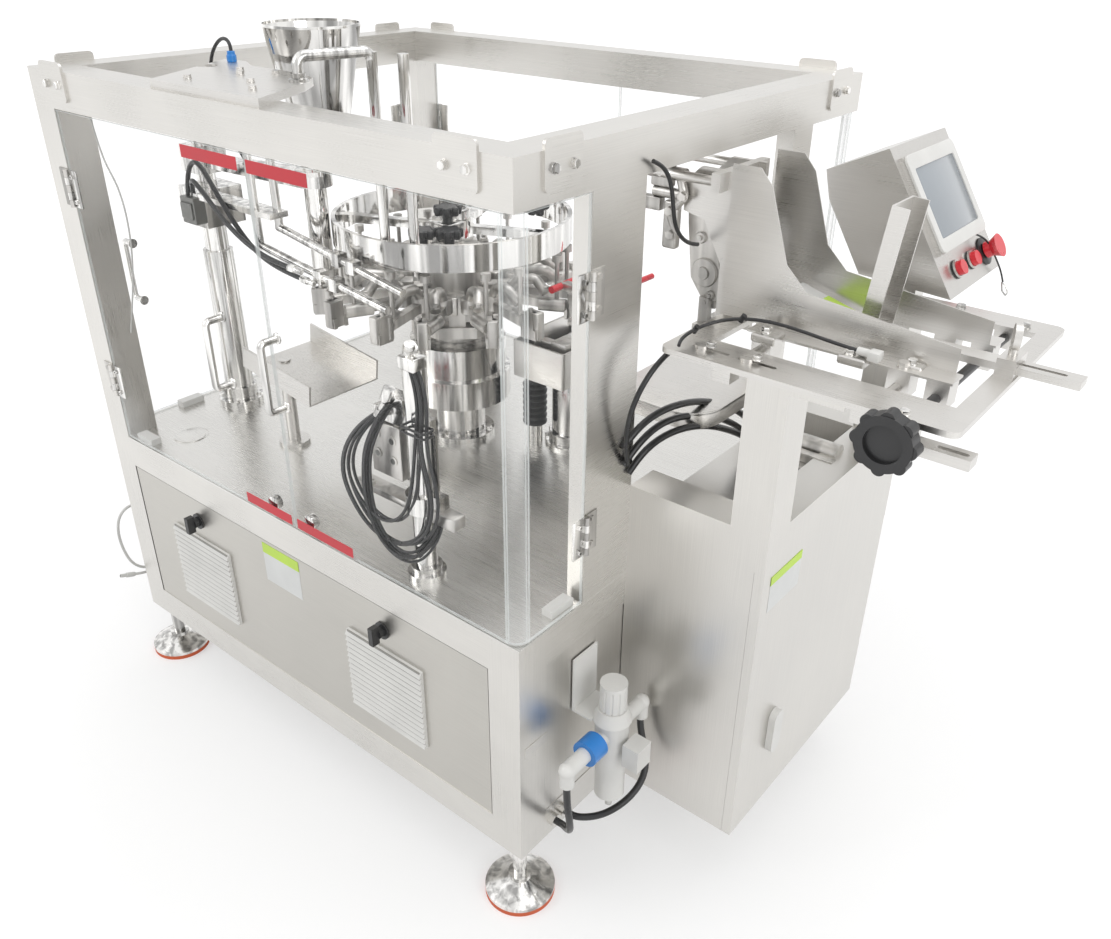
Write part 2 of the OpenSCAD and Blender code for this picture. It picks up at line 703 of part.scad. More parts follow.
module fixed_arms() color("silver") placed() translate([axis_x, axis_y, arm_z])
    for (k = [0 : stations - 1]) rotate([0, 0, k * station_step]) mirror([0, 1, 0])
        difference() {
            arm_bar(74, 10);
            translate([-90, -60, -50]) cube([168, 120, 200]);
        }

// The swinging arm of one station, on the pivot beside its fixed arm
module swing_arm(k) color("darkgray") placed() translate([axis_x, axis_y, arm_z])
    rotate([0, 0, (k - 1) * station_step])
        difference() {
            union() {
                arm_bar(pivot_r, pivot_side);
                translate([pivot_r, pivot_side, -1]) cylinder(h = arm_t + 3, d = 26);
            }
            translate([pivot_r, pivot_side, -2]) cylinder(h = arm_t + 5, d = pivot_d + 2 * run_gap);
        }

module swing_arm_1() swing_arm(1);
module swing_arm_2() swing_arm(2);
module swing_arm_3() swing_arm(3);
module swing_arm_4() swing_arm(4);
module swing_arm_5() swing_arm(5);
module swing_arm_6() swing_arm(6);
module swing_arm_7() swing_arm(7);
module swing_arm_8() swing_arm(8);

// The indexing gearbox and its motor, hung under the deck
module index_drive() color("slategray") placed() translate([axis_x, axis_y, 0])
    difference() {
        union() {
            translate([-100, -90, deck_z - 186]) cube([200, 180, 146]);
            translate([0, 0, deck_z - 41]) cylinder(h = 41 - deck_t, d = 130);
            translate([99, 0, deck_z - 110]) rotate([0, 90, 0]) cylinder(h = 150, d = 110);
            translate([249, 0, deck_z - 110]) rotate([0, 90, 0]) cylinder(h = 60, d = 126);
        }
        translate([0, 0, turret_low - 1]) cylinder(h = 80, d = shaft_d + 2 * run_gap);
        translate([0, 0, turret_low - 52]) cylinder(h = 60, d = mast_d);
    }

// The filler column with its flange, sleeve and two cable brackets
module filler_column() translate([column_x, column_y, 0]) {
    translate([0, 0, deck_z]) cylinder(h = 12, d = 92);
    translate([0, 0, deck_z + 12]) cylinder(h = 26, d = 70);
    translate([0, 0, deck_z]) cylinder(h = 330, d = 58);
    translate([0, 0, deck_z]) cylinder(h = block_z + 70 - deck_z, d = column_d + 10);
    translate([0, 0, deck_z]) cylinder(h = column_top - deck_z, d = column_d);
    for (a = [45 : 90 : 315]) rotate([0, 0, a]) translate([38, 0, deck_z + 12]) bolt_head(4);
}

head_z = column_top - 66;
head_arm_z = head_z + 12;
head_arm_t = 20;
spout_z = claw_high + 16;
hopper_x = fill_x + 12.5;
hopper_y = fill_y + 18;
flange_z = head_arm_z + head_arm_t;
reducer_z = flange_z + 14;
cone_z = reducer_z + 36;
cone_r = 42;
rim_t = 4;

// The hopper's own outline: spout, offset reducer and cone, thinned by a wall
module hopper_shape(wall) {
    end = wall > 0 ? 1 : 0;
    translate([fill_x, fill_y, spout_z - end]) cylinder(h = reducer_z - spout_z + end, r = spout_r - wall);
    hull() {
        translate([fill_x, fill_y, reducer_z]) cylinder(h = 1, r = spout_r - wall);
        translate([hopper_x, hopper_y, cone_z]) cylinder(h = 1, r = cone_r - wall);
    }
    translate([hopper_x, hopper_y, cone_z])
        cylinder(h = hopper_z - rim_t - cone_z, r1 = cone_r - wall, r2 = hopper_r - wall);
    translate([hopper_x, hopper_y, hopper_z - rim_t]) cylinder(h = rim_t + end, r = hopper_r - wall);
}

// The hopper with its spout; a flange rests on the filling head's arm
module hopper() color("silver") placed() difference() {
    union() {
        translate([fill_x, fill_y, flange_z]) cylinder(h = 8, r = spout_r + 12);
        hopper_shape(0);
    }
    hopper_shape(hopper_wall);
}

// The filling head: carriage on the column and the arm that holds the hopper
module filler_head() color("silver") placed() difference() {
    union() {
        translate([column_x - 32, column_y - 30, head_z]) cube([64, 60, 50]);
        hull() {
            translate([column_x + 40, column_y, head_arm_z]) cylinder(h = head_arm_t, d = 34);
            translate([fill_x, fill_y, head_arm_z]) cylinder(h = head_arm_t, d = 64);
        }
    }
    translate([column_x, column_y, head_z - 1]) cylinder(h = 60, d = column_d + 2 * run_gap);
    translate([fill_x, fill_y, head_z]) cylinder(h = 50, r = spout_r + seat);
}

// Two bent tubes that reach from the column's bracket to the pouch-opening station
block_z = head_z - 94;
tube_d = 15;
tube_top = deck_z + 594;
tube_y = axis_y - grip_r + 4;
tube_a = [[axis_x - 199, tube_y, tube_top], [axis_x - 195, tube_y, claw_high + 101],
          [axis_x + 115, tube_y, claw_high + 49]];
tube_b = [[axis_x - 239, tube_y - 17, tube_top], [axis_x - 235, tube_y - 17, claw_high + 65],
          [axis_x + 95, tube_y - 17, claw_high + 20]];

module bent_tube(p) {
    rod(p[0], p[1], tube_d);
    rod(p[1], p[2], tube_d);
    translate(p[1]) sphere(d = tube_d + 1);
    for (f = [0.5, 0.62]) translate(p[1] + f * (p[2] - p[1]) - [10, 10, 11]) cube([20, 20, 22]);
}

module opening_rods() color("silver") placed() {
    bent_tube(tube_a);
    bent_tube(tube_b);
    span([column_x + 40, tube_y - 28, block_z + 60], [axis_x - 181, column_y - 25, block_z + 70]);
    difference() {
        translate([column_x - 30, column_y - 46, block_z]) cube([84, 84, 70]);
        translate([column_x, column_y, block_z - 1]) cylinder(h = 72, d = column_d + 10 + 2 * run_gap);
    }
}

// The chute under the filling station, on its own foot
module discharge_chute() color("silver") placed() {
    start = [axis_x - 245, axis_y - 320, deck_z];
    difference() {
        translate(start + [0, 0, 176]) rotate([0, 8, 0]) cube([190, 160, 40]);
        translate(start + [-4, 4, 179]) rotate([0, 8, 0]) cube([200, 152, 50]);
    }
    translate(start + [30, 70, 0]) cylinder(h = 176, d = 24);
    translate(start + [30, 70, 0]) cylinder(h = 8, d = 60);
}

// The sensor column with its perforated plate and sensor blocks
module sensor_column() {
    x = frame_l - 238;
    y = 53;
    translate([x, y, deck_z]) cylinder(h = 9, d = 62);
    translate([x, y, deck_z]) cylinder(h = 20, d = 50);
    translate([x, y, deck_z]) cylinder(h = 318, d = column_d);
    difference() {
        span([x - 112, y + 18, 700], [x + 16, y + 22, 800]);
        for (px = [x - 100 : 20 : x - 40], pz = [716 : 22 : 782])
            translate([px, y + 16, pz]) rotate([-90, 0, 0]) cylinder(h = 10, d = 9);
    }
    span([x - 92, y - 4, 806], [x + 16, y + 22, 826]);
    span([x - 66, y - 6, 826], [x - 24, y + 20, 852]);
    translate([x, y, 676]) cylinder(h = 30, d = 52);
    span([x + 22, y - 9, 690], [x + 46, y + 11, 712]);
}

// The two columns that stand on the deck
module deck_columns() color("silver") placed() {
    filler_column();
    sensor_column();
}

// The moving seal jaw, bored for its two guide bars
jaw_half = 86;
guide_side = 76;
guide_z = 789;
guide_d = 12;
jaw_t = 22;
jaw_open = 8;

module jaw(r) translate([r, -jaw_half, guide_z - 19]) cube([jaw_t, 2 * jaw_half, 38]);

module seal_jaw() color("silver") placed() translate([axis_x, axis_y, 0]) rotate([0, 0, 135])
    difference() {
        jaw(grip_r + jaw_open);
        for (s = [-guide_side, guide_side]) translate([grip_r, s, guide_z]) rotate([0, 90, 0])
            cylinder(h = jaw_open + jaw_t + 1, d = guide_d + 2 * run_gap);
    }

// The two drive posts, the bellows and the housings of the sealing station
module drive_posts() color("silver") placed() {
    bellows = [axis_x + 143, axis_y + 61, deck_z];
    can = [axis_x + 204, axis_y + 112, deck_z];
    tray = [axis_x + 123, axis_y + 20, deck_z + 150];
    translate(bellows) cylinder(h = 44, d = 30);
    for (k = [0 : 5]) translate(bellows + [0, 0, 40 + k * 16]) {
        cylinder(h = 9, d = 48);
        cylinder(h = 16, d = 38);
    }
    translate(bellows + [0, 0, 130]) cylinder(h = 44, d = 18);
    translate(can) cylinder(h = 8, d = 120);
    translate(can) cylinder(h = 28, d = 104);
    translate(can) cylinder(h = 150, d = 92);
    difference() {
        span(tray, tray + [122, 130, 72]);
        span(tray + [4, 4, 4], tray + [118, 126, 80]);
    }
    translate([axis_x, axis_y, 0]) rotate([0, 0, 135]) {
        jaw(grip_r - jaw_open - jaw_t);
        translate([grip_r + 62, -jaw_half - 4, deck_z]) cube([44, 2 * jaw_half + 8, guide_z + 29 - deck_z]);
        for (s = [-guide_side, guide_side]) translate([grip_r - jaw_open - jaw_t - 4, s, guide_z])
            rotate([0, 90, 0]) cylinder(h = jaw_open + jaw_t + 70, d = guide_d);
    }
}

// The feeder arm that swings a pouch from the magazine to the turret
feeder_pin = 14;
cup_pin = 8;
feeder_len = 156;
feeder_lean = 9;
cup_x = feeder_x + feeder_len * sin(feeder_lean);
cup_z = feeder_z - feeder_len * cos(feeder_lean);

module feeder_arm() color("silver") placed() translate([feeder_x, table_mid, feeder_z])
    rotate([0, -feeder_lean, 0]) difference() {
        union() {
            rotate([90, 0, 0]) cylinder(h = 2 * cheek_half - 4, d = 34, center = true);
            translate([-10, -26, 14 - feeder_len]) cube([20, 52, feeder_len - 14]);
            translate([-11, -30, -12 - feeder_len]) cube([22, 60, 28]);
        }
        rotate([90, 0, 0]) cylinder(h = 90, d = feeder_pin + 2 * run_gap, center = true);
        translate([0, 0, -feeder_len]) rotate([90, 0, 0]) cylinder(h = 70, d = cup_pin + 2 * run_gap, center = true);
    }

// The suction bar with its four cups, on the feeder arm's lower pin
module suction_bar() color("silver") placed() translate([cup_x, table_mid, cup_z]) {
    rotate([90, 0, 0]) cylinder(h = 88, d = cup_pin, center = true);
    for (s = [-1, 1]) translate([-8, s * 37 - 6, -36]) cube([16, 12, 44]);
    translate([-8, -58, -44]) cube([16, 116, 14]);
    for (y = [-42 : 28 : 42]) translate([7, y, -37]) rotate([0, 90, 0])
        cylinder(h = 12, d1 = 8, d2 = 18);
}

// The side cabinet, open on its door side
cab_joint = cab_right - door_fold - seat;
cab_hinges = [cab_z + 90, cab_top - 90];

module cabinet_body() color("gainsboro") placed() {
    difference() {
        span([cab_x, cab_y, cab_z], [cab_joint, cab_back, cab_top]);
        span([cab_x + sheet_t, cab_y + sheet_t, cab_z + sheet_t],
            [cab_right, cab_back - sheet_t, cab_top - sheet_t]);
    }
    for (z = cab_hinges) translate([cab_joint, cab_back + hinge_off, z]) rotate([0, 0, 180])
        mirror([1, 0, 0]) hinge_half(false);
}

// The cabinet door: a folded tray with the seat of its swing handle
module cabinet_door() color("gainsboro") placed() {
    difference() {
        span([cab_right - door_fold, cab_y, cab_z], [cab_right, cab_back, cab_top]);
        span([cab_right - door_fold - 1, cab_y + sheet_t, cab_z + sheet_t],
            [cab_right - sheet_t, cab_back - sheet_t, cab_top - sheet_t]);
        translate([cab_right - 5, cab_y + 105, cab_z + 150]) rotate([0, 90, 0])
            cylinder(h = 10, d = 16 + 2 * run_gap);
    }
    for (z = cab_hinges) translate([cab_joint, cab_back + hinge_off, z]) rotate([0, 0, 180])
        mirror([1, 0, 0]) hinge_half(true, door_fold);
}

// The white swing handle: plate, barrel and lever
module swing_handle() color("white") placed()
    translate([cab_right + seat, cab_y + 105, cab_z + 150]) {
        translate([-10, 0, 0]) rotate([0, 90, 0]) cylinder(h = 14, d = 16);
        hull() for (z = [-14, 44]) translate([0, 0, z]) rotate([0, 90, 0]) cylinder(h = 12, d = 30);
        translate([-10, -8, -4]) cube([3, 40, 8]);
    }

// The tube stand on the cabinet, with the console's post
module stand_frame() color("gainsboro") placed() {
    low = cab_top;
    high = cab_top + tube;
    post_x = console_x + 20;
    post_y = console_y + 60;
    span([cab_x, cab_y, low], [cab_right, cab_y + tube, high]);
    span([cab_right - tube, cab_y, low], [cab_right, cab_back, high]);
    span([cab_x, cab_back - tube, low], [cab_right, cab_back, high]);
    for (y = [cab_y, cab_back - tube]) span([cab_right - tube, y, high], [cab_right, y + tube, stand_top]);
    span([cab_right - tube, cab_y, stand_top], [cab_right + 75, cab_y + tube - 4, table_low]);
    span([cab_right - tube, cab_back - tube, stand_top], [cab_right + 75, console_y - 6, table_low]);
    difference() {
        union() {
            span([post_x, cab_back, low + 10], [post_x + 40, post_y + 40, low + 50]);
            span([post_x, post_y, low + 10], [post_x + 40, post_y + 40, console_z - 140]);
        }
        console_solid();
    }
}

// The console's outer block, leaning back over its sloping face
module console_solid()
    translate([console_x, console_y, console_z]) rotate([0, -console_tilt, 0])
        translate([0, console_w, 0]) rotate([90, 0, 0]) linear_extrude(height = console_w)
            polygon([[0, 0], [-console_d, 15], [-console_d - 15, -29],
                [-console_d - 17, 91 - console_l], [0, -console_l]]);

// The magazine's slotted table with its cross rods, blocks and bar clamp
module magazine_table() color("whitesmoke") placed() {
    difference() {
        translate([table_x, table_y, table_low]) round_plate(table_l, table_w, table_t, 14);
        span([table_x + 45, window_y0, table_low - 1], [table_right - 28, window_y1, table_z + 1]);
        for (x = [table_x + 62, table_x + 132], y = [table_y + 34, table_back - 26])
            translate([x, y, table_z]) slot(56, 7, 3 * table_t);
    }
    for (x = [table_x + 62, table_x + 132], y = [table_y + 34, table_back - 26])
        translate([x - 14, y, table_z]) cylinder(h = 5, d = 20);
    for (x = [rod_near_x, rod_far_x]) {
        rod([x, table_y + 26, rod_z], [x, table_back - 20, rod_z], cross_d);
        for (y = [table_y + 12, table_back - 46])
            span([x - 14, y, rod_z - 12], [x + 14, y + 26, table_low]);
    }
    for (y = [table_y + 12, table_back - 46]) difference() {
        span([screw_x - 16, y, rod_z - 16], [screw_x + 16, y + 26, table_low]);
        translate([screw_x, y - 1, rod_z]) rotate([-90, 0, 0]) cylinder(h = 30, d = cross_d + 2 * run_gap);
    }
    difference() {
        span([table_right - 120, table_y + 14, rod_z - 30], [table_right + 16, table_y + 40, rod_z - 16]);
        translate([table_right - 10, table_y + 27, rod_z - 20]) slot(40, 8, 40);
    }
    difference() {
        span([table_right - 26, table_mid - bar_w / 2 - 8, table_z],
            [table_right - 2, table_mid + bar_w / 2 + 8, bar_z + bar_t + 10]);
        span([table_right - 30, table_mid - bar_w / 2 - seat, bar_z - seat],
            [table_right + 2, table_mid + bar_w / 2 + seat, bar_z + bar_t + seat]);
    }
    translate([table_right - 14, table_mid, bar_z + bar_t + 10]) cylinder(h = 12, d = 12);
    translate([table_right - 14, table_mid, bar_z + bar_t + 34]) rotate([0, 90, 20])
        cylinder(h = 9, d = 34, center = true);
    for (s = [-1, 1]) translate([0, table_mid + s * (cheek_half + cheek_t / 2) + cheek_t / 2, 0])
        rotate([90, 0, 0]) linear_extrude(height = cheek_t) polygon([
            [table_x - 14, table_low - 10], [table_x + 44, table_low - 10], [table_x + 44, table_low + fuse],
            [table_x + 16, table_low + fuse], [table_x + 16, table_low],
            [table_x - 1, table_low], [table_x - 1, rail_z + 13], [feeder_x + 4, rail_z + 13],
            [feeder_x - 20, feeder_z + 20], [feeder_x - 20, feeder_z - 22],
            [feeder_x + 16, feeder_z - 30], [table_x - 14, table_z + 70]]);
    rod([feeder_x, table_mid - cheek_half - cheek_t, feeder_z],
        [feeder_x, table_mid + cheek_half + cheek_t, feeder_z], feeder_pin);
    for (x = [table_x - 190, table_x - 26])
        span([x, table_mid - rail_half - 10, rail_z - 13], [x + 14, table_mid + rail_half + 10, rail_z + 13]);
    for (s = [-1, 1])
        rod([table_x - 190, table_mid + s * rail_half, rail_z], [table_x - 12, table_mid + s * rail_half, rail_z], 14);
}

// A side guide standing on the XZ plane, its inner face at Y = 0 and its foot towards -Y
module side_guide() {
    g0 = table_x + 3;
    low = table_z + 4;
    rotate([90, 0, 0]) linear_extrude(height = guide_t) polygon([
        [g0, low], [table_right - 60, low], [table_right - 60, low + 36], [g0 + 130, low + 60],
        [g0 + 96, low + 92], [g0 + 62, table_z + guide_h - 22], [g0 + 42, table_z + guide_h],
        [g0, table_z + guide_h]]);
    translate([g0 + 66, -38, low]) cube([table_right - 60 - g0 - 66, 38, 3]);
    for (x = [rod_near_x, rod_far_x, screw_x]) difference() {
        union() {
            translate([x - 15, -36, rod_z - 12]) cube([30, 34, low + 3 - rod_z + 12]);
            if (x == screw_x) translate([x - 22, -38, low]) cube([40, 38, 3]);
        }
        translate([x, -50, rod_z]) rotate([-90, 0, 0]) cylinder(h = 80, d = cross_d + 2 * run_gap);
    }
    for (x = [rod_near_x, rod_far_x]) translate([x, -24, low + 3]) bolt_head(8);
}

module near_guide() color("gainsboro") placed() translate([0, near_face, 0]) side_guide();
module far_guide() color("gainsboro") placed()
    translate([0, far_face, 0]) mirror([0, 1, 0]) side_guide();

// The handwheel with eight lobes on the width screw
module width_handwheel() color("black") placed() translate([screw_x, 0, rod_z]) {
    translate([0, table_y - 14, 0]) rotate([-90, 0, 0])
        cylinder(h = table_w + 4, d = cross_d);
    translate([0, table_y - 44, 0]) rotate([-90, 0, 0]) difference() {
        union() {
            cylinder(h = 22, d = wheel_d - 10);
            for (a = [0 : 45 : 315]) rotate([0, 0, a]) translate([wheel_d / 2 - 9, 0, 1])
                cylinder(h = 20, d = 18, $fn = 32);
        }
        translate([0, 0, -1]) cylinder(h = 7, d = wheel_d - 34);
    }
    translate([0, table_y - 22, 0]) rotate([-90, 0, 0]) cylinder(h = 14, d = 30);
}

// The pouch pusher on the slotted centre bar
module pouch_pusher() color("whitesmoke") placed() {
    x0 = table_x + 200;
    difference() {
        span([x0, table_mid - bar_w / 2, bar_z], [bar_end, table_mid + bar_w / 2, bar_z + bar_t]);
        translate([bar_end - 50, table_mid, bar_z]) slot(60, 7, 4 * bar_t);
    }
    translate([x0, table_mid - 34, bar_z + bar_t]) rotate([0, 6, 0]) difference() {
        cube([24, 68, 178]);
        translate([3, 3, -1]) cube([30, 62, 200]);
    }
}

// Places its children on the console's sloping face, s down the slope and y across it
module on_console(s, y)
    translate([console_x, console_y, console_z]) rotate([0, -console_tilt, 0])
        translate([0, y, -s]) rotate([0, 90, 0]) children();

module console_box() color("gainsboro") placed() {
    difference() {
        console_solid();
        for (p = [[60, button_d], [124, button_d], [188, stop_d - 14]])
            on_console(button_s, p[0]) translate([0, 0, -30]) cylinder(h = 40, d = p[1] - 8 + 2 * run_gap);
    }
    translate([console_x, console_y, console_z]) rotate([0, -console_tilt, 0])
        translate([-fuse, 15, -182]) cube([6 + fuse, 200, 162]);
    for (y = [60, 124]) on_console(button_s, y) difference() {
        cylinder(h = 6, d = button_d + 6);
        translate([0, 0, -1]) cylinder(h = 8, d = button_d + 1);
    }
}

// A push button's cap and stem
module push_button(y) color("red") placed() on_console(button_s, y) {
    translate([0, 0, 4.5]) cylinder(h = 10, d = button_d);
    translate([0, 0, -24]) cylinder(h = 30, d = button_d - 8);
}

module start_button() push_button(60);
module stop_button() push_button(124);

module emergency_stop() color("red") placed() on_console(button_s, 188) {
    translate([0, 0, -24]) cylinder(h = 44, d = stop_d - 22);
    translate([0, 0, 6]) cylinder(h = 12, d1 = stop_d - 12, d2 = stop_d - 16);
    translate([0, 0, 17]) cylinder(h = 12, d1 = stop_d - 12, d2 = stop_d);
}

// The sliding collar of the lockout valve, on the regulator's inlet port
port_d = 26;

module lockout_collar() color("dodgerblue") placed() translate([reg_x, reg_y, port_z])
    rotate([90, 0, 0]) translate([0, 0, 40]) difference() {
        cylinder(h = 32, d = 44);
        translate([0, 0, -1]) cylinder(h = 34, d = port_d + 2 * run_gap);
    }

// The filter regulator: bracket, body, bowl, elbows and pressure switch
module filter_regulator() color("white") placed() translate([reg_x, reg_y, 0]) {
    translate([0, 0, port_z - 26]) cylinder(h = 52, d = 56);
    translate([0, 0, port_z - 136]) cylinder(h = 112, d = 50);
    translate([0, 0, port_z - 166]) cylinder(h = 32, d = 12);
    translate([0, 0, port_z + 26]) cylinder(h = 22, d1 = 64, d2 = 48);
    span([1 - reg_out, -30, port_z + 60], [4 - reg_out, 30, port_z + 130]);
    span([1 - reg_out, -30, port_z + 26], [-20, 30, port_z + 30]);
    span([1 - reg_out, -30, port_z + 26], [4 - reg_out, 30, port_z + 70]);
    rotate([90, 0, 0]) translate([0, port_z, 0]) cylinder(h = reg_y - 40, d = port_d);
    rotate([-90, 0, 0]) translate([0, -port_z, 0]) cylinder(h = 238 - reg_y, d = 24);
    for (y = [40 - reg_y, 238 - reg_y]) {
        translate([0, y, port_z]) sphere(d = 27);
        translate([0, y, 300]) cylinder(h = port_z - 300, d = 24);
    }
    rotate([0, 90, 0]) translate([22 - port_z, 0, 20]) cylinder(h = 20, d = 16);
    span([34, -18, port_z - 44], [64, 18, port_z]);
}

module regulator_knob() color("white") placed() translate([reg_x, reg_y, port_z + 48 + seat])
    difference() {
        cylinder(h = 50, d = 44);
        for (a = [0 : 30 : 330]) rotate([0, 0, a]) translate([22.8, 0, -1]) cylinder(h = 44, d = 5, $fn = 16);
    }

module inlet_hose() color("black") placed() cord(INLET_ROUTE, hose_d, [0, 1, 0]);
module outlet_hose() color("black") placed() cord(OUTLET_ROUTE, hose_d);
module sensor_cable() color("black") placed() cord(SENSOR_ROUTE, loom_d);
// The side cable with the round connector moulded on its free end
module side_cable() color("silver") placed() {
    back = SIDE_ROUTE[0];
    aim = unit(back - SIDE_ROUTE[1]);
    cord(SIDE_ROUTE, side_cable_d);
    rod(back, back + 20 * aim, 11);
    rod(back, back + 34 * aim, 8);
}

base_frame();
base_panels();
front_panel();
vent_grilles();
lock_left();
lock_right();
deck_plate();
upper_frame();
top_cover();
levelling_feet();
foot_pads();
door_hinges();
front_door_left();
front_door_right();
side_door();
back_door();
back_guard();
door_catches();
pedestal();
turret();
cam_ring();
fixed_arms();
swing_arm_1();
swing_arm_2();
swing_arm_3();
swing_arm_4();
swing_arm_5();
swing_arm_6();
swing_arm_7();
swing_arm_8();
index_drive();
deck_columns();
filler_head();
hopper();
opening_rods();
discharge_chute();
seal_jaw();
drive_posts();
feeder_arm();
suction_bar();
cabinet_body();
cabinet_door();
swing_handle();
stand_frame();
magazine_table();
near_guide();
far_guide();
width_handwheel();
pouch_pusher();
console_box();
emergency_stop();
start_button();
stop_button();
filter_regulator();
regulator_knob();
lockout_collar();
inlet_hose();
outlet_hose();
sensor_cable();
side_cable();
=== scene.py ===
import json
import math

import bpy
from mathutils import Matrix, Vector

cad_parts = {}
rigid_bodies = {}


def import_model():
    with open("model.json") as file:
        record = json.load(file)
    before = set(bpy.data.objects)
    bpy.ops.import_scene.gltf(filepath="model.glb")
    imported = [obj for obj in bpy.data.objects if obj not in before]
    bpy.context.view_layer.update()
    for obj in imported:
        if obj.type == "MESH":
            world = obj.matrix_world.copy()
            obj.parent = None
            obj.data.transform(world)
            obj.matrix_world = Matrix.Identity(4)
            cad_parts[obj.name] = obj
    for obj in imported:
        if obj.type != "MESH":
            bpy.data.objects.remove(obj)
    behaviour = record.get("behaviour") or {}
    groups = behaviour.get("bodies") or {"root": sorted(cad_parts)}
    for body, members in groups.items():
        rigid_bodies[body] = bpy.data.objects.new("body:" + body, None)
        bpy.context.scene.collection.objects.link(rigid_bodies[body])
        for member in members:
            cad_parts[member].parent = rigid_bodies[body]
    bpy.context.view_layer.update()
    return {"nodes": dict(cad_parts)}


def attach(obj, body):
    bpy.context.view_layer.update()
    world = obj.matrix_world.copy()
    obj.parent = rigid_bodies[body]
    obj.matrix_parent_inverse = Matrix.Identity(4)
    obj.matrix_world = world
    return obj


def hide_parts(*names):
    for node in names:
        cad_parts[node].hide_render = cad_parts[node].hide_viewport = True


for leftover in list(bpy.data.objects):
    bpy.data.objects.remove(leftover)
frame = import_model()
nodes = frame["nodes"]
print("frame loaded:", len(nodes), "nodes")

# Places are given in mm from the left front corner of the main frame
machine = Matrix.Translation((-0.792, -0.450, 0))
body = {"long": 1090, "deep": 900, "deck": 556, "axis": (545, 450)}
long, deep, deck = body["long"], body["deep"], body["deck"]


def at(point):
    return machine @ (Vector(point) / 1000)


def frameAt(origin, zAxis=(0, 0, 1), xAxis=(1, 0, 0)):
    z = Vector(zAxis).normalized()
    x = Vector(xAxis)
    if abs(x.normalized().dot(z)) > 0.99:
        x = Vector((0, 1, 0))
    x = (x - x.dot(z) * z).normalized()
    turn = Matrix((x, z.cross(x), z)).transposed().to_4x4()
    return machine @ Matrix.Translation(Vector(origin) / 1000) @ turn


# Camera of the front view
view = {"place": (1.02786, -1.27491, 1.47184), "turn": (60.6751, -0.4834, 39.1944), "lens": 32.105}
lens = bpy.data.cameras.new("photoLens")
lens.lens, lens.sensor_width, lens.clip_start = view["lens"], 36, 0.05
camera = bpy.data.objects.new("photoCamera", lens)
bpy.context.scene.collection.objects.link(camera)
camera.location = view["place"]
camera.rotation_euler = [math.radians(a) for a in view["turn"]]
bpy.context.scene.camera = camera


# Material nodes
def addNode(tree, kind, inputs=None, **settings):
    made = tree.nodes.new("ShaderNode" + kind)
    for key, value in settings.items():
        setattr(made, key, value)
    for key, value in (inputs or {}).items():
        if isinstance(value, bpy.types.NodeSocket):
            tree.links.new(value, made.inputs[key])
        else:
            made.inputs[key].default_value = value
    return made


def newMaterial(name, colour, **sockets):
    material = bpy.data.materials.new(name)
    material.use_nodes = True
    shader = material.node_tree.nodes["Principled BSDF"]
    shader.inputs["Base Color"].default_value = (*colour, 1)
    for key, value in sockets.items():
        shader.inputs[key.replace("_", " ")].default_value = value
    return material, material.node_tree, shader


def mapped(tree, value, low, high, start=0.3, end=0.7):
    return addNode(tree, "MapRange", {"Value": value, "From Min": start, "From Max": end,
                                      "To Min": low, "To Max": high}).outputs["Result"]


def tinted(tree, shader, colour, factor, dark, light):
    shades = [tuple(min(1, c * k) for c in colour) + (1,) for k in (dark, light)]
    mix = addNode(tree, "Mix", data_type="RGBA")
    tree.links.new(factor, mix.inputs["Factor"])
    mix.inputs[6].default_value, mix.inputs[7].default_value = shades
    tree.links.new(mix.outputs[2], shader.inputs["Base Color"])


def calc(tree, operation, first, second=None):
    inputs = {0: first} if second is None else {0: first, 1: second}
    return addNode(tree, "Math", inputs, operation=operation).outputs[0]


# How far each grain is stretched, and where the frame's bars change direction, in m
grains = {"alongX": (7, 1100, 1100), "alongY": (1100, 7, 1100), "upright": (1100, 1100, 7), "even": (260, 260, 260)}
barEdges = {"middle": 0.247, "front": 0.3879, "end": 0.4829, "postTop": 1.178}


def barGrain(tree, place):  # grain runs along each bar of the frame: X, Y or upright
    split = addNode(tree, "SeparateXYZ", {0: place}).outputs
    across = calc(tree, "ABSOLUTE", split["Y"])
    along = calc(tree, "ABSOLUTE", calc(tree, "ADD", split["X"], barEdges["middle"]))
    front = calc(tree, "GREATER_THAN", across, barEdges["front"])
    end = calc(tree, "GREATER_THAN", along, barEdges["end"])
    low = calc(tree, "LESS_THAN", split["Z"], barEdges["postTop"])
    post = calc(tree, "MULTIPLY", calc(tree, "MULTIPLY", front, end), low)
    flat = addNode(tree, "Mix", {"Factor": front}, data_type="VECTOR")
    flat.inputs[4].default_value, flat.inputs[5].default_value = grains["alongY"], grains["alongX"]
    full = addNode(tree, "Mix", {"Factor": post}, data_type="VECTOR")
    tree.links.new(flat.outputs[1], full.inputs[4])
    full.inputs[5].default_value = grains["upright"]
    return full.outputs[1]


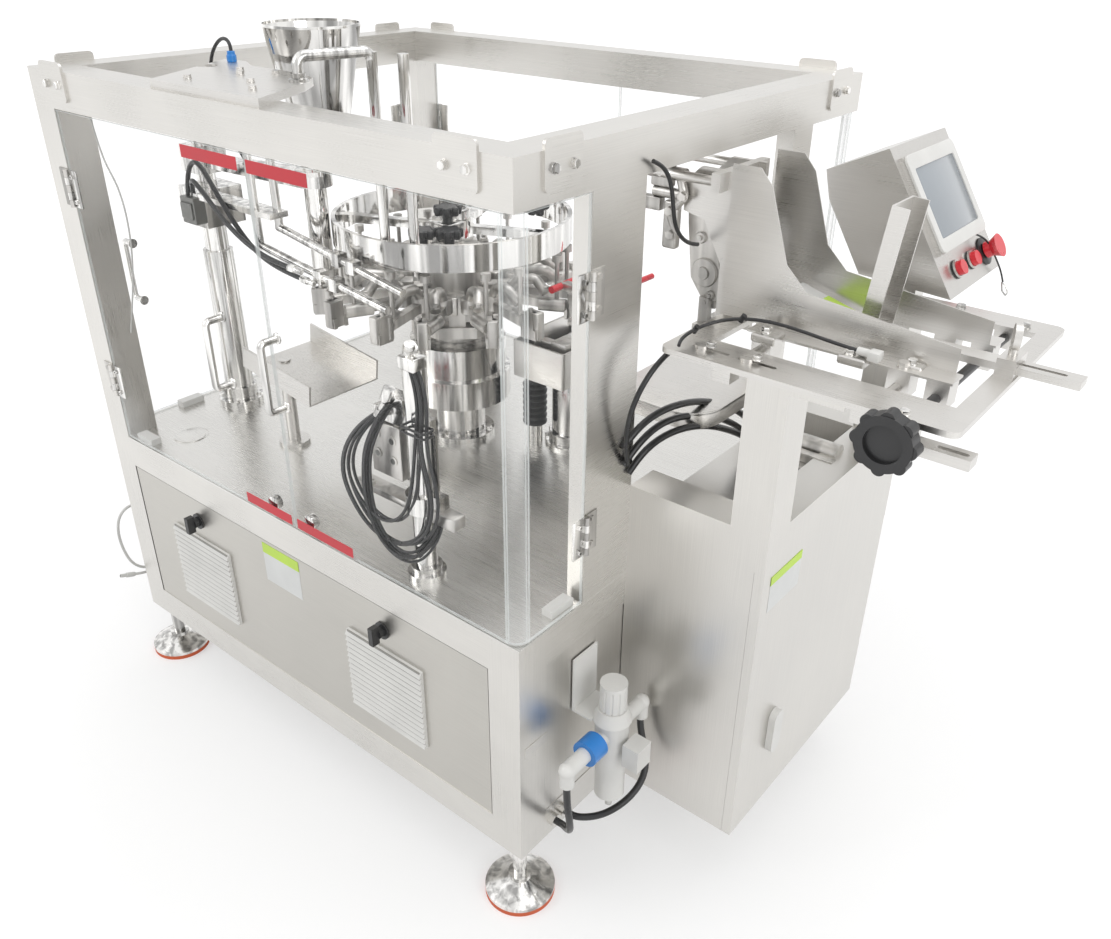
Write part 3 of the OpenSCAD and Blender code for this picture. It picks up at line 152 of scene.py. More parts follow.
def steel(name, colour, rough, grain="upright", spread=0.05, bump=0.025, cloud=5.0, paintedReflections=None):
    material, tree, shader = newMaterial(name, colour, Metallic=1.0)
    place = addNode(tree, "TexCoord").outputs["Object"]
    stretch = addNode(tree, "VectorMath", {0: place}, operation="MULTIPLY")
    if grain == "bars":
        tree.links.new(barGrain(tree, place), stretch.inputs[1])
    else:
        stretch.inputs[1].default_value = grains[grain]
    lines = addNode(tree, "TexNoise", {"Vector": stretch.outputs[0], "Scale": 1.0, "Detail": 3.0, "Roughness": 0.6})
    patches = addNode(tree, "TexNoise", {"Vector": place, "Scale": cloud, "Detail": 3.0, "Distortion": 0.6})
    both = calc(tree, "ADD", lines.outputs[0], patches.outputs[0])
    tree.links.new(mapped(tree, both, rough - spread, rough + spread, 0.8, 1.2), shader.inputs["Roughness"])
    if paintedReflections:  # painted reflections: upright dark and bright bands in the base colour, standing in for the surroundings a polished wall reflects
        wide, dark, bright = paintedReflections
        span = addNode(tree, "VectorMath", {0: place, 1: (wide, wide, wide / 14)}, operation="MULTIPLY").outputs[0]
        reflectionBands = addNode(tree, "TexNoise", {"Vector": span, "Scale": 1.0, "Detail": 2.0, "Distortion": 0.4}).outputs[0]
        tinted(tree, shader, colour, mapped(tree, reflectionBands, 0, 1, 0.36, 0.60), dark, bright)
    else:
        tinted(tree, shader, colour, mapped(tree, both, 0, 1, 0.75, 1.25), 0.93, 1.05)
    rise = addNode(tree, "Bump", {"Strength": bump, "Distance": 0.0006, "Height": lines.outputs[0]})
    tree.links.new(rise.outputs[0], shader.inputs["Normal"])
    return material


def plastic(name, colour, rough, grainScale=600.0, bump=0.05, coat=0.0, dark=0.93, light=1.04):
    material, tree, shader = newMaterial(name, colour, Coat_Weight=coat, Coat_Roughness=0.08)
    place = addNode(tree, "TexCoord").outputs["Object"]
    grain = addNode(tree, "TexNoise", {"Vector": place, "Scale": grainScale, "Detail": 3.0})
    cloud = addNode(tree, "TexNoise", {"Vector": place, "Scale": 14.0, "Detail": 4.0})
    tree.links.new(mapped(tree, cloud.outputs[0], rough * 0.85, rough * 1.15), shader.inputs["Roughness"])
    tinted(tree, shader, colour, mapped(tree, cloud.outputs[0], 0, 1), dark, light)
    rise = addNode(tree, "Bump", {"Strength": bump, "Distance": 0.0004, "Height": grain.outputs[0]})
    tree.links.new(rise.outputs[0], shader.inputs["Normal"])
    return material


def acrylic(name, colour, clear=0.07, grazing=0.5, rough=0.03, start=0.62):
    material, tree, shader = newMaterial(name, colour, Roughness=rough, IOR=1.49)
    place = addNode(tree, "TexCoord").outputs["Object"]
    facing = addNode(tree, "LayerWeight", {"Blend": 0.35}).outputs["Facing"]
    haze = addNode(tree, "TexNoise", {"Vector": place, "Scale": 2.5, "Detail": 2.0}).outputs[0]
    soft = mapped(tree, haze, 0.0, 0.012)
    solid = mapped(tree, facing, clear, grazing, start, 1.0)
    tree.links.new(calc(tree, "ADD", solid, soft), shader.inputs["Alpha"])
    return material


finishes = {
    "frameSteel": steel("frameSteel", (0.69, 0.675, 0.645), 0.31, "bars"),
    "panelSteel": steel("panelSteel", (0.55, 0.535, 0.50), 0.34, "alongX", cloud=3.0),
    "sideSteel": steel("sideSteel", (0.69, 0.675, 0.645), 0.34, "upright", cloud=3.0),
    "deckSteel": steel("deckSteel", (0.73, 0.72, 0.695), 0.28, "alongX", cloud=3.5),
    "plateSteel": steel("plateSteel", (0.68, 0.665, 0.64), 0.31, "alongX", cloud=6.0),
    # polishedSteel, mirrorSteel and castSteel carry painted reflections: upright dark and bright bands in their base
    # colour
    "polishedSteel": steel("polishedSteel", (0.80, 0.79, 0.77), 0.14, "even", 0.04, 0.01, 12.0, (70, 0.48, 1.1)),
    "mirrorSteel": steel("mirrorSteel", (0.77, 0.76, 0.74), 0.07, "even", 0.03, 0.01, 9.0, (26, 0.40, 1.15)),
    "castSteel": steel("castSteel", (0.60, 0.585, 0.56), 0.38, "even", 0.08, 0.05, 20.0, (34, 0.62, 1.2)),
    "darkSteel": steel("darkSteel", (0.22, 0.22, 0.21), 0.36, "even", 0.08, 0.05, 20.0),
    "driveGrey": plastic("driveGrey", (0.22, 0.25, 0.30), 0.38, 500.0, 0.06, 0.2),
    "clearAcrylic": acrylic("clearAcrylic", (0.93, 0.95, 0.95), 0.012, 0.85),
    "acrylicEdge": acrylic("acrylicEdge", (0.86, 0.90, 0.89), 0.55, 0.9, 0.06),
    "acrylicBend": acrylic("acrylicBend", (0.90, 0.92, 0.92), 0.10, 0.8, 0.04, 0.15),
    "whitePlastic": plastic("whitePlastic", (0.72, 0.715, 0.69), 0.34, 700.0, 0.03, 0.2),
    "blackPlastic": plastic("blackPlastic", (0.022, 0.022, 0.023), 0.36, 500.0, 0.08, 0.1, 0.7, 1.3),
    "cableBlack": plastic("cableBlack", (0.016, 0.016, 0.017), 0.30, 400.0, 0.04, 0.1, 0.7, 1.4),
    "cableGrey": plastic("cableGrey", (0.62, 0.62, 0.60), 0.40, 400.0, 0.04),
    "redPlastic": plastic("redPlastic", (0.72, 0.020, 0.035), 0.28, 500.0, 0.03, 0.3),
    "redTape": plastic("redTape", (0.62, 0.030, 0.045), 0.40, 300.0, 0.04, 0.0),
    "bluePlastic": plastic("bluePlastic", (0.015, 0.21, 0.62), 0.30, 500.0, 0.03, 0.3),
    "padRubber": plastic("padRubber", (0.66, 0.13, 0.05), 0.62, 900.0, 0.15),
    "labelWhite": plastic("labelWhite", (0.74, 0.75, 0.74), 0.45, 300.0, 0.02),
    "labelLime": plastic("labelLime", (0.55, 0.78, 0.10), 0.42, 300.0, 0.02),
    "shadowGrey": plastic("shadowGrey", (0.33, 0.32, 0.30), 0.5, 300.0, 0.02),
    "pouchFilm": plastic("pouchFilm", (0.76, 0.76, 0.75), 0.28, 60.0, 0.10, 0.3),
    "screenGrey": plastic("screenGrey", (0.30, 0.33, 0.36), 0.16, 100.0, 0.0, 0.6, 0.97, 1.03),
}
print("materials made:", len(finishes))

nodeFinish = {
    "base_frame": "frameSteel", "upper_frame": "frameSteel", "stand_frame": "sideSteel",
    "base_panels": "sideSteel", "front_panel": "panelSteel", "deck_plate": "deckSteel",
    "top_cover": "plateSteel", "vent_grilles": "whitePlastic", "lock_left": "blackPlastic",
    "lock_right": "blackPlastic", "levelling_feet": "polishedSteel", "foot_pads": "padRubber",
    "door_hinges": "castSteel", "door_catches": "whitePlastic", "pedestal": "polishedSteel",
    "turret": "castSteel", "cam_ring": "mirrorSteel", "fixed_arms": "castSteel",
    "index_drive": "driveGrey", "deck_columns": "polishedSteel", "filler_head": "polishedSteel",
    "hopper": "mirrorSteel",
    "opening_rods": "polishedSteel", "discharge_chute": "plateSteel", "seal_jaw": "castSteel",
    "drive_posts": "polishedSteel", "feeder_arm": "castSteel", "suction_bar": "castSteel",
    "cabinet_body": "sideSteel", "cabinet_door": "sideSteel", "swing_handle": "whitePlastic",
    "magazine_table": "plateSteel", "near_guide": "plateSteel", "far_guide": "plateSteel",
    "width_handwheel": "blackPlastic", "pouch_pusher": "plateSteel", "console_box": "plateSteel",
    "emergency_stop": "redPlastic", "start_button": "redPlastic", "stop_button": "redPlastic",
    "filter_regulator": "whitePlastic", "regulator_knob": "whitePlastic",
    "lockout_collar": "bluePlastic", "inlet_hose": "cableBlack", "outlet_hose": "cableBlack",
    "sensor_cable": "cableBlack", "side_cable": "cableGrey",
}
for name, item in nodes.items():
    finish = nodeFinish.get(name, "castSteel")
    item.data.materials.clear()
    item.data.materials.append(finishes[finish])
print("CAD nodes painted")


# Modelling steps, all in mm round the origin until settle() puts the piece in place
def clearSelection():
    if bpy.context.object and bpy.context.object.mode != "OBJECT":
        bpy.ops.object.mode_set(mode="OBJECT")
    bpy.ops.object.select_all(action="DESELECT")


def selectOnly(piece):
    clearSelection()
    piece.select_set(True)
    bpy.context.view_layer.objects.active = piece


def startEdit():
    bpy.ops.object.mode_set(mode="EDIT")
    bpy.ops.mesh.select_all(action="SELECT")


def endEdit(turnOut=True):
    if turnOut:
        bpy.ops.mesh.select_all(action="SELECT")
        bpy.ops.mesh.normals_make_consistent(inside=False)
    bpy.ops.object.mode_set(mode="OBJECT")


def applyPlace(piece):
    selectOnly(piece)
    bpy.ops.object.transform_apply(location=True, rotation=True, scale=True)


def settle(piece, matrix=machine):
    piece.matrix_world = matrix @ piece.matrix_world
    applyPlace(piece)
    return piece


def slab(low, high, bevel=1.0, segments=2):
    clearSelection()
    low, high = Vector(low) / 1000, Vector(high) / 1000
    bpy.ops.mesh.primitive_cube_add(size=1, location=(low + high) / 2)
    piece = bpy.context.object
    piece.scale = high - low
    applyPlace(piece)
    if bevel:
        startEdit()
        bpy.ops.mesh.bevel(offset=bevel / 1000, segments=segments, affect="EDGES")
        endEdit(False)
    return piece


def turned(profile, sides=32):
    clearSelection()
    radius, height = profile[0]
    bpy.ops.mesh.primitive_circle_add(vertices=sides, radius=radius / 1000, fill_type="NGON",
                                      location=(0, 0, height / 1000))
    piece = bpy.context.object
    applyPlace(piece)
    startEdit()
    for (r0, h0), (r1, h1) in zip(profile, profile[1:]):
        bpy.ops.mesh.extrude_region_move(TRANSFORM_OT_translate={"value": (0, 0, (h1 - h0) / 1000)})
        if r0 != r1:
            bpy.ops.transform.resize(value=(r1 / r0, r1 / r0, 1), center_override=(0, 0, 0))
    endEdit()
    return piece


def rounded(points, bend, steps=6):
    points = [Vector(p) for p in points]
    if not bend:
        return points
    route = [points[0]]
    for before, corner, after in zip(points, points[1:], points[2:]):
        a, b = (before - corner).normalized(), (after - corner).normalized()
        half = a.angle(b) / 2
        back = min(bend / math.tan(half), (before - corner).length * 0.49, (after - corner).length * 0.49)
        radius = back * math.tan(half)
        middle = corner + (a + b).normalized() * (radius / math.sin(half))
        start, end = corner + a * back - middle, corner + b * back - middle
        sweep = start.angle(end)
        for k in range(steps + 1):
            t = k / steps
            route.append(middle + (start * math.sin((1 - t) * sweep) + end * math.sin(t * sweep)) / math.sin(sweep))
    return route + [points[-1]]


def bar(points, diameter, bend=0, steps=6, detail=5):
    curve = bpy.data.curves.new("route", "CURVE")
    curve.dimensions = "3D"
    route = rounded(points, bend, steps)
    spline = curve.splines.new("POLY")
    spline.points.add(len(route) - 1)
    for point, place in zip(spline.points, route):
        point.co = (*(place / 1000), 1)
    curve.bevel_depth, curve.bevel_resolution, curve.use_fill_caps = diameter / 2000, detail, True
    piece = bpy.data.objects.new("bar", curve)
    bpy.context.scene.collection.objects.link(piece)
    selectOnly(piece)
    bpy.ops.object.convert(target="MESH")
    return bpy.context.object


def sheetPlate(outline, thickness, holes=(), bevel=0.0):
    curve = bpy.data.curves.new("outline", "CURVE")
    curve.dimensions, curve.fill_mode = "2D", "BOTH"
    for loop in [outline, *holes]:
        spline = curve.splines.new("POLY")
        spline.points.add(len(loop) - 1)
        for point, (x, y) in zip(spline.points, loop):
            point.co = (x / 1000, y / 1000, 0, 1)
        spline.use_cyclic_u = True
    curve.extrude = thickness / 2000 - bevel / 1000
    curve.bevel_depth, curve.offset = bevel / 1000, -bevel / 1000
    piece = bpy.data.objects.new("plate", curve)
    piece.location.z = thickness / 2000
    bpy.context.scene.collection.objects.link(piece)
    selectOnly(piece)
    bpy.ops.object.convert(target="MESH")
    piece = bpy.context.object
    applyPlace(piece)
    startEdit()
    bpy.ops.mesh.remove_doubles(threshold=0.00002)
    endEdit()
    return piece


def ring(x, y, r, sides=24, start=0, sweep=360):
    count = sides if sweep == 360 else sides + 1
    return [(x + r * math.cos(math.radians(start + sweep * k / sides)),
             y + r * math.sin(math.radians(start + sweep * k / sides))) for k in range(count)]


def roundRect(x0, y0, x1, y1, r, sides=6):
    return (ring(x1 - r, y1 - r, r, sides, 0, 90) + ring(x0 + r, y1 - r, r, sides, 90, 90)
            + ring(x0 + r, y0 + r, r, sides, 180, 90) + ring(x1 - r, y0 + r, r, sides, 270, 90))


def copyOf(piece, matrix):
    twin = piece.copy()
    twin.data = piece.data.copy()
    bpy.context.scene.collection.objects.link(twin)
    return settle(twin, matrix)


def repeated(piece, matrices):
    made = [copyOf(piece, m) for m in matrices]
    bpy.data.objects.remove(piece)
    return joined(made)


def joined(pieces):
    clearSelection()
    for piece in pieces:
        piece.select_set(True)
    bpy.context.view_layer.objects.active = pieces[0]
    if len(pieces) > 1:
        bpy.ops.object.join()
    return bpy.context.object


def dress(piece, name, finish, rides="frame", stands=(), smooth=35):
    piece.name = name
    piece.data.name = name
    piece.data.materials.clear()
    piece.data.materials.append(finishes[finish])
    selectOnly(piece)
    bpy.ops.object.shade_smooth_by_angle(angle=math.radians(smooth))
    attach(piece, rides)
    if stands:
        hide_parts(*stands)
    return piece


def hexBolt(d):
    washer = turned([(1.05 * d, 0), (1.05 * d, 0.2 * d), (0.98 * d, 0.26 * d)], 24)
    head = turned([(0.95 * d, 0.2 * d), (0.95 * d, 0.8 * d), (0.8 * d, 0.92 * d)], 6)
    return joined([washer, head])


def capScrew(d):
    return turned([(0.85 * d, 0), (0.9 * d, 0.1 * d), (0.9 * d, 0.8 * d), (0.78 * d, 0.95 * d),
                   (0.45 * d, 0.95 * d), (0.4 * d, 0.45 * d)], 18)


# Hoses and cables, along the same routes as their solids
def smoothRoute(points, parts=4):
    points = [Vector(p) for p in points]
    ends = [points[0] * 2 - points[1]] + points + [points[-1] * 2 - points[-2]]
    route = []
    for a, b, c, d in zip(ends, ends[1:], ends[2:], ends[3:]):
        for k in range(parts):
            t = k / parts
            route.append(0.5 * (2 * b + (c - a) * t + (2 * a - 5 * b + 4 * c - d) * t * t
                                + (3 * b - 3 * c + d - a) * t ** 3))
    return route + [points[-1]]


def layCord(name, points, diameter, finish, stands=(), rides="frame"):
    route = [at(p) for p in smoothRoute(points)]
    for evening in range(8):  # evens the bends out, with both ends held
        inner = [(a + 2 * b + c) / 4 for a, b, c in zip(route, route[1:], route[2:])]
        route = [route[0], *inner, route[-1]]
    curve = bpy.data.curves.new(name, "CURVE")
    curve.dimensions = "3D"
    spline = curve.splines.new("POLY")
    spline.points.add(len(route) - 1)
    for point, place in zip(spline.points, route):
        point.co = (*place, 1)
    curve.bevel_depth, curve.bevel_resolution, curve.use_fill_caps = diameter / 2000, 4, True
    curve.materials.append(finishes[finish])
    piece = bpy.data.objects.new(name, curve)
    bpy.context.scene.collection.objects.link(piece)
    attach(piece, rides)
    if stands:
        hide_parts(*stands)
    return piece


hoses = {
    "inlet": [(1150, 40, 300), (1150, 40, 285), (1151, 40, 263), (1152, 42, 240), (1152, 46, 217),
              (1149, 52, 195), (1142, 60, 176), (1131, 68, 162), (1115, 78, 152), (1108, 78, 151), (1100, 78, 151)],
    "outlet": [(1150, 238, 300), (1150, 238, 284), (1154, 238, 262), (1162, 236, 240),
               (1172, 230, 218), (1178, 218, 198), (1178, 200, 181), (1173, 178, 168), (1164, 156, 159),
               (1152, 137, 152), (1136, 121, 148), (1120, 106, 150), (1108, 104, 151), (1100, 104, 151)],
    "diameter": 12,
}
for end in ("inlet", "outlet"):
    layCord(end + "_hose_line", hoses[end], hoses["diameter"], "cableBlack",
            [end + "_hose"])

sensorLoom = {
    "route": [(806, 47, 838), (806, 38, 838), (802, 28, 826), (792, 24, 806), (779, 23, 782),
              (767, 24, 756), (759, 26, 726), (755, 27, 694), (757, 27, 662), (766, 26, 634),
              (782, 25, 612), (804, 24, 598), (828, 24, 593), (850, 26, 598), (867, 31, 610),
              (878, 40, 628), (885, 49, 648), (887, 54, 666), (887, 54, 680), (887, 54, 690)],
    "strand": 4.6, "strands": 5,
}


def loomStrand(number, spread):
    route = [Vector(p) for p in sensorLoom["route"]]
    turnBy = 2 * math.pi * number / (sensorLoom["strands"] - 1)
    made = []
    for k, point in enumerate(route):
        ahead = (route[min(k + 1, len(route) - 1)] - route[max(k - 1, 0)]).normalized()
        side = ahead.cross(Vector((0, 1, 0))).normalized()
        lift = ahead.cross(side)
        loose = 1 + 1.1 * math.sin(math.pi * k / (len(route) - 1)) ** 2
        out = spread * (side * math.cos(turnBy) * loose + lift * math.sin(turnBy))
        made.append(point + out)
    return made


for number in range(sensorLoom["strands"]):
    spread = 0 if number == sensorLoom["strands"] - 1 else sensorLoom["strand"]
    layCord(f"sensor_strand_{number + 1}", loomStrand(number, spread), sensorLoom["strand"], "cableBlack",
            ["sensor_cable"] if spread == 0 else ())

sideCable = {
    "diameter": 6,
    "route": [(-14, 84, 196), (-18, 84, 196), (-24, 84, 195), (-32, 78, 190), (-40, 66, 182), (-46, 50, 176),
              (-51, 33, 174), (-55, 17, 180), (-57, 4, 194), (-58, -4, 210), (-59, -9, 230), (-60, -12, 250),
              (-61, -13, 270), (-61, -12, 290), (-60, -8, 310), (-58, 0, 326), (-54, 12, 338), (-50, 27, 342),
              (-46, 42, 336), (-42, 56, 324), (-38, 68, 308), (-35, 77, 290), (-34, 82, 270), (-34, 84, 250),
              (-35, 83, 230), (-38, 80, 210), (-42, 74, 192), (-46, 64, 176), (-50, 50, 166), (-53, 32, 163),
              (-54, 14, 166), (-54, -2, 172)],
}
plugBack = Vector((-54, -2, 172))
plugAim = (plugBack - Vector((-54, 14, 166))).normalized()
plug = turned([(3.6, -2), (5.0, 1), (5.4, 4), (5.4, 10), (5.0, 10.4), (5.0, 11.4), (5.5, 11.8), (5.5, 19.5),
               (4.9, 20), (4.0, 20), (4.0, 33.4), (3.4, 34), (2.8, 34), (2.8, 28)], 24)
plug = dress(settle(plug, frameAt(plugBack, plugAim)), "side_plug_body", "cableGrey")
layCord("side_cable_line", sideCable["route"], sideCable["diameter"], "cableGrey",
        ["side_cable"])
print("hoses and cables laid")

# Clear doors with their handles, hinge leaves and stops
doors = {
    "low": 558.5, "high": 1176, "thick": 5, "bend": 25, "hingeHeights": (681, 1046), "hingeTall": 65,
    "handleHeight": 850, "handleHalf": 57.5, "handleReach": 32, "handleBar": 12,
}


def sheetBox(low, high):
    return settle(slab(low, high, 0.8, 2))


def cornerSheet(wingEnd, low, high, flip=False):
    b, t = doors["bend"], doors["thick"]
    outline = ([(590, 0)] + ring(long - b, b, b, 12, -90, 90) + [(long, wingEnd), (long - t, wingEnd)]
               + ring(long - b, b, b - t, 12, 0, -90) + [(590, t)])
    if flip:
        outline = [(x, deep - y) for x, y in outline]
    piece = sheetPlate(outline, high - low, bevel=0.5)
    return settle(piece, frameAt((0, 0, low)))


def doorHandle(x, y, outward):
    z, half, reach = doors["handleHeight"], doors["handleHalf"], doors["handleReach"]
    o = Vector(outward)
    foot = Vector((x, y, 0))
    low, high = Vector((0, 0, z - half)), Vector((0, 0, z + half))
    loop = bar([foot + low, foot + o * reach + low, foot + o * reach + high, foot + high], doors["handleBar"], 8)
    flange = turned([(9, 0), (9, 2.2), (8, 3)], 24)
    feet = [copyOf(flange, frameAt(foot + end, outward)) for end in (low, high)]
    bpy.data.objects.remove(flange)
    return joined([settle(loop)] + feet)


def hingeLeaf(x, y, along, outward):
    # the moving half: leaf, two knuckles and two screws, seen from outside
    a, o = Vector(along), Vector(outward)
    tall = doors["hingeTall"]
    spans = [(k * 13 - 32.3, k * 13 - 19.7) for k in (1, 3)]
    made = []
    for z in doors["hingeHeights"]:
        leaf = slab((5.2, 0, -tall / 2), (28, 3.4, tall / 2), 1.0)
        knuckles = [settle(turned([(4.5, z0), (4.5, z1)], 20), Matrix.Translation((0, 0.005, 0))) for z0, z1 in spans]
        arms = [slab((2.9, 1.4, z0), (6, 3.4, z1), 0.3, 1) for z0, z1 in spans]
        screws = [settle(capScrew(4.4), Matrix.Translation((0.0165, 0.0034, s * tall / 3000))
                         @ Matrix.Rotation(math.radians(-90), 4, "X")) for s in (-1, 1)]
        half = joined([leaf] + knuckles + arms + screws)
        turn = Matrix((a, o, Vector((0, 0, 1)))).transposed().to_4x4()
        made.append(settle(half, machine @ Matrix.Translation(Vector((x, y, z)) / 1000) @ turn))
    return joined(made)


def doorStop(x, y, z, outward):
    stop = turned([(11, 0), (13, 1), (13, 11), (11.5, 14), (7, 14), (6.2, 12.6)], 28)
    return settle(stop, frameAt((x, y, z), outward))


def faceOut(piece):
    selectOnly(piece)
    startEdit()
    endEdit()
    return piece


low, high = doors["low"], doors["high"]
sheets = {
    "front_door_left": sheetBox((64, 0, low), (586, 5, high)),
    "front_door_right": cornerSheet(145, low, high),
    "side_door": sheetBox((0, 64, low), (5, deep - 64, high)),
    "back_door": sheetBox((64, deep - 5, low), (586, deep, high)),
    "back_guard": cornerSheet(166, 556, 1178, True),
}
for name, piece in sheets.items():
    dress(piece, name + "_sheet", "clearAcrylic",
          "frame" if name == "back_guard" else name, [name])
    for extra in ("acrylicEdge", "acrylicBend"):
        piece.data.materials.append(finishes[extra])
    for face in piece.data.polygons:
        flat = max(abs(face.normal.x), abs(face.normal.y))
        tall = max(piece.data.vertices[v].co.z for v in face.vertices) - face.center.z > 0.2
        if not tall or face.area < 0.0045 and flat > 0.99:
            face.material_index = 1
        elif flat < 0.985:
            face.material_index = 2
fittings = {
    "front_door_left": [doorHandle(470, 0, (0, -1, 0)), hingeLeaf(63, 0, (1, 0, 0), (0, -1, 0)),
                        doorStop(522, 5, 578.5, (0, 1, 0))],
    "front_door_right": [doorHandle(611, 0, (0, -1, 0)), hingeLeaf(long, 146, (0, -1, 0), (1, 0, 0)),
                         doorStop(620, 5, 578.5, (0, 1, 0))],
    "side_door": [doorHandle(0, 122, (-1, 0, 0)), hingeLeaf(0, 837, (0, -1, 0), (-1, 0, 0))],
    "back_door": [doorHandle(526, deep, (0, 1, 0)), hingeLeaf(63, deep, (1, 0, 0), (0, 1, 0))],
}
for name, pieces in fittings.items():
    dress(faceOut(joined(pieces)), name + "_fittings", "polishedSteel", name)

strips = {
    "front_door_left": [(431, 570, 1150), (456, 581, 561)],
    "front_door_right": [(592, 726, 1150), (596, 737, 561)],
    "tall": 19,
}
for name in ("front_door_left", "front_door_right"):
    made = [settle(slab((x0, -0.8, z), (x1, 0.1, z + strips["tall"]), 0.3, 1)) for x0, x1, z in strips[name]]
    dress(joined(made), name + "_strips", "redTape", name)
print("doors made")

# Console face: bezel, screen and the rings under the buttons, u across and v up the slope
console = {"top": (1235, 700, 1164), "lean": 33, "bezel": (17, -182, 213, -20), "screen": (34, -160, 196, -44)}
lean = math.radians(console["lean"])
faceFrame = frameAt(console["top"], (math.cos(lean), 0, math.sin(lean)), (0, 1, 0))
bezel = sheetPlate(roundRect(*console["bezel"], 12), 5, [roundRect(*console["screen"], 4)], 1.2)
bezel = settle(bezel, faceFrame @ Matrix.Translation((0, 0, 0.0055)))
dress(bezel, "console_bezel", "whitePlastic")
x0, y0, x1, y1 = console["screen"]
screen = slab((x0 - 2, y0 - 2, 5.5), (x1 + 2, y1 + 2, 8.2), 0.6, 2)
dress(settle(screen, faceFrame), "console_screen", "screenGrey")
rings = []
for u, d in ((60, 30), (124, 30), (188, 46)):
    collar = turned([(d / 2, 0), (d / 2 + 0.5, 0.5), (d / 2 + 0.5, 2.4), (d / 2 - 1.2, 3.4)], 36)
    rings.append(settle(collar, faceFrame @ Matrix.Translation((u / 1000, -0.214, 0))))
dress(joined(rings), "console_rings", "blackPlastic")
print("console made")

# Sealing station: bellows, can, tray and the guide bars between the jaws
station = {"bellows": (688, 511), "can": (749, 562), "tray": ((668, 470, 706), (790, 600, 778))}
x, y = station["bellows"]
folds = [(17, 40)]
for k in range(7):
    folds += [(23.5, 42 + k * 13), (24, 46 + k * 13), (18.5, 50 + k * 13), (18, 52 + k * 13)]
bellows = settle(turned(folds + [(19, 134), (19, 138)], 40), frameAt((x, y, deck)))
dress(bellows, "station_bellows", "blackPlastic")
posts = [settle(turned([(15, 0), (15, 41), (14, 42)], 32), frameAt((x, y, deck))),
         settle(turned([(9, 136), (9, 176)], 28), frameAt((x, y, deck)))]
x, y = station["can"]
can = turned([(60, 0), (60, 6), (58, 8), (52, 8), (52, 26), (50, 28), (46, 28), (46, 146), (44.5, 150)], 56)
posts.append(settle(can, frameAt((x, y, deck))))
bolt = hexBolt(5)
posts.append(repeated(bolt, [frameAt((x + 56 * math.cos(a), y + 56 * math.sin(a), deck + 7.5))
                             for a in (0.5, 2.07, 3.64, 5.21)]))
dress(joined(posts), "station_posts", "polishedSteel", "frame", ["drive_posts"])
(x0, y0, z0), (x1, y1, z1) = station["tray"]
tray = sheetPlate(roundRect(x0, y0, x1, y1, 5), z1 - z0 - 4, [roundRect(x0 + 4, y0 + 4, x1 - 4, y1 - 4, 3)], 0.6)
tray = settle(tray, frameAt((0, 0, z0 + 4)))
floorPlate = settle(sheetPlate(roundRect(x0, y0, x1, y1, 5), 5, (), 0.6), frameAt((0, 0, z0)))
insides = [settle(slab((706, 486, z0 + 4), (712, 584, z1 + 26), 1)),
           settle(slab((742, 492, z0 + 4), (778, 560, z1 + 8), 2)),
           settle(slab((690, 500, z0 + 60), (742, 520, z0 + 72), 2))]
dress(joined([tray, floorPlate] + insides), "station_tray", "plateSteel")
jaws = {"angle": 135, "half": 86, "inner": 210, "outer": 302, "rods": (-76, 76), "rodHeight": 789}
turn, half, inner, outer = math.radians(jaws["angle"]), jaws["half"], jaws["inner"], jaws["outer"]
jawFrame = frameAt((*body["axis"], 0), (0, 0, 1), (math.cos(turn), math.sin(turn), 0))
jawBody = [slab((inner, -half, 770), (inner + 22, half, 808), 1.5), slab((outer, -90, deck), (outer + 44, 90, 818), 3),
           slab((inner - 4, -60, 808), (inner + 18, 60, 814), 1)]
for y in jaws["rods"]:
    rod = bar([(inner - 4, y, jaws["rodHeight"]), (outer + 6, y, jaws["rodHeight"])], 12)
    jawBody.append(settle(rod, Matrix.Identity(4)))
jawBody.append(slab((outer - 4, -70, 600), (outer + 0.5, 70, 740), 1))
dress(settle(joined(jawBody), jawFrame), "seal_station", "castSteel")
print("sealing station made")

# Stirrup tube over the ring, with its second rod
stirrup = {"left": (548, 140), "right": (579.2, 256), "rod": (631.4, 272.9), "top": 1287, "tube": 17}
(x0, y0), (x1, y1), top = stirrup["left"], stirrup["right"], stirrup["top"]
tube = [settle(bar([(x0, y0, 1250), (x0, y0, top), (x1, y1, top), (x1, y1, 975)], stirrup["tube"], 14))]
for x, y in (stirrup["right"], stirrup["rod"]):
    foot = turned([(19, 0), (19, 13), (17.5, 14), (10.5, 14), (10.5, 22), (9, 23)], 32)
    tube.append(settle(foot, frameAt((x, y, 964))))
tube.append(settle(turned([(8.5, 0), (8.5, 22), (7, 24)], 24), frameAt((*stirrup["rod"], 1262))))
tube.append(settle(turned([(15, 0), (15, 4), (11, 6), (11, 12)], 28), frameAt((x0, y0, 1252))))
dress(joined(tube), "ring_stirrup", "polishedSteel")
print("stirrup made")

# Bare labels on the front panel and the cabinet door, and the plate on the right side
def plates(name, boxes, finish, rides="frame", bevel=0.2):
    made = [settle(slab(low, high, bevel, 1)) for low, high in boxes]
    return dress(joined(made), name, finish, rides)


plates("front_label", [((476, 0.5, 400), (578, 1.3, 482))], "labelWhite")
plates("front_label_head", [((476, 0.2, 461), (578, 1.2, 482))], "labelLime")
plates("door_label", [((1326.5, 284, 574), (1327.6, 381, 637))], "labelWhite", "cabinet_door")
plates("door_label_head", [((1326.6, 284, 622), (1327.9, 381, 637))], "labelLime", "cabinet_door")
plates("side_plate", [((1089.6, 11, 337), (1091, 62, 357))], "plateSteel")

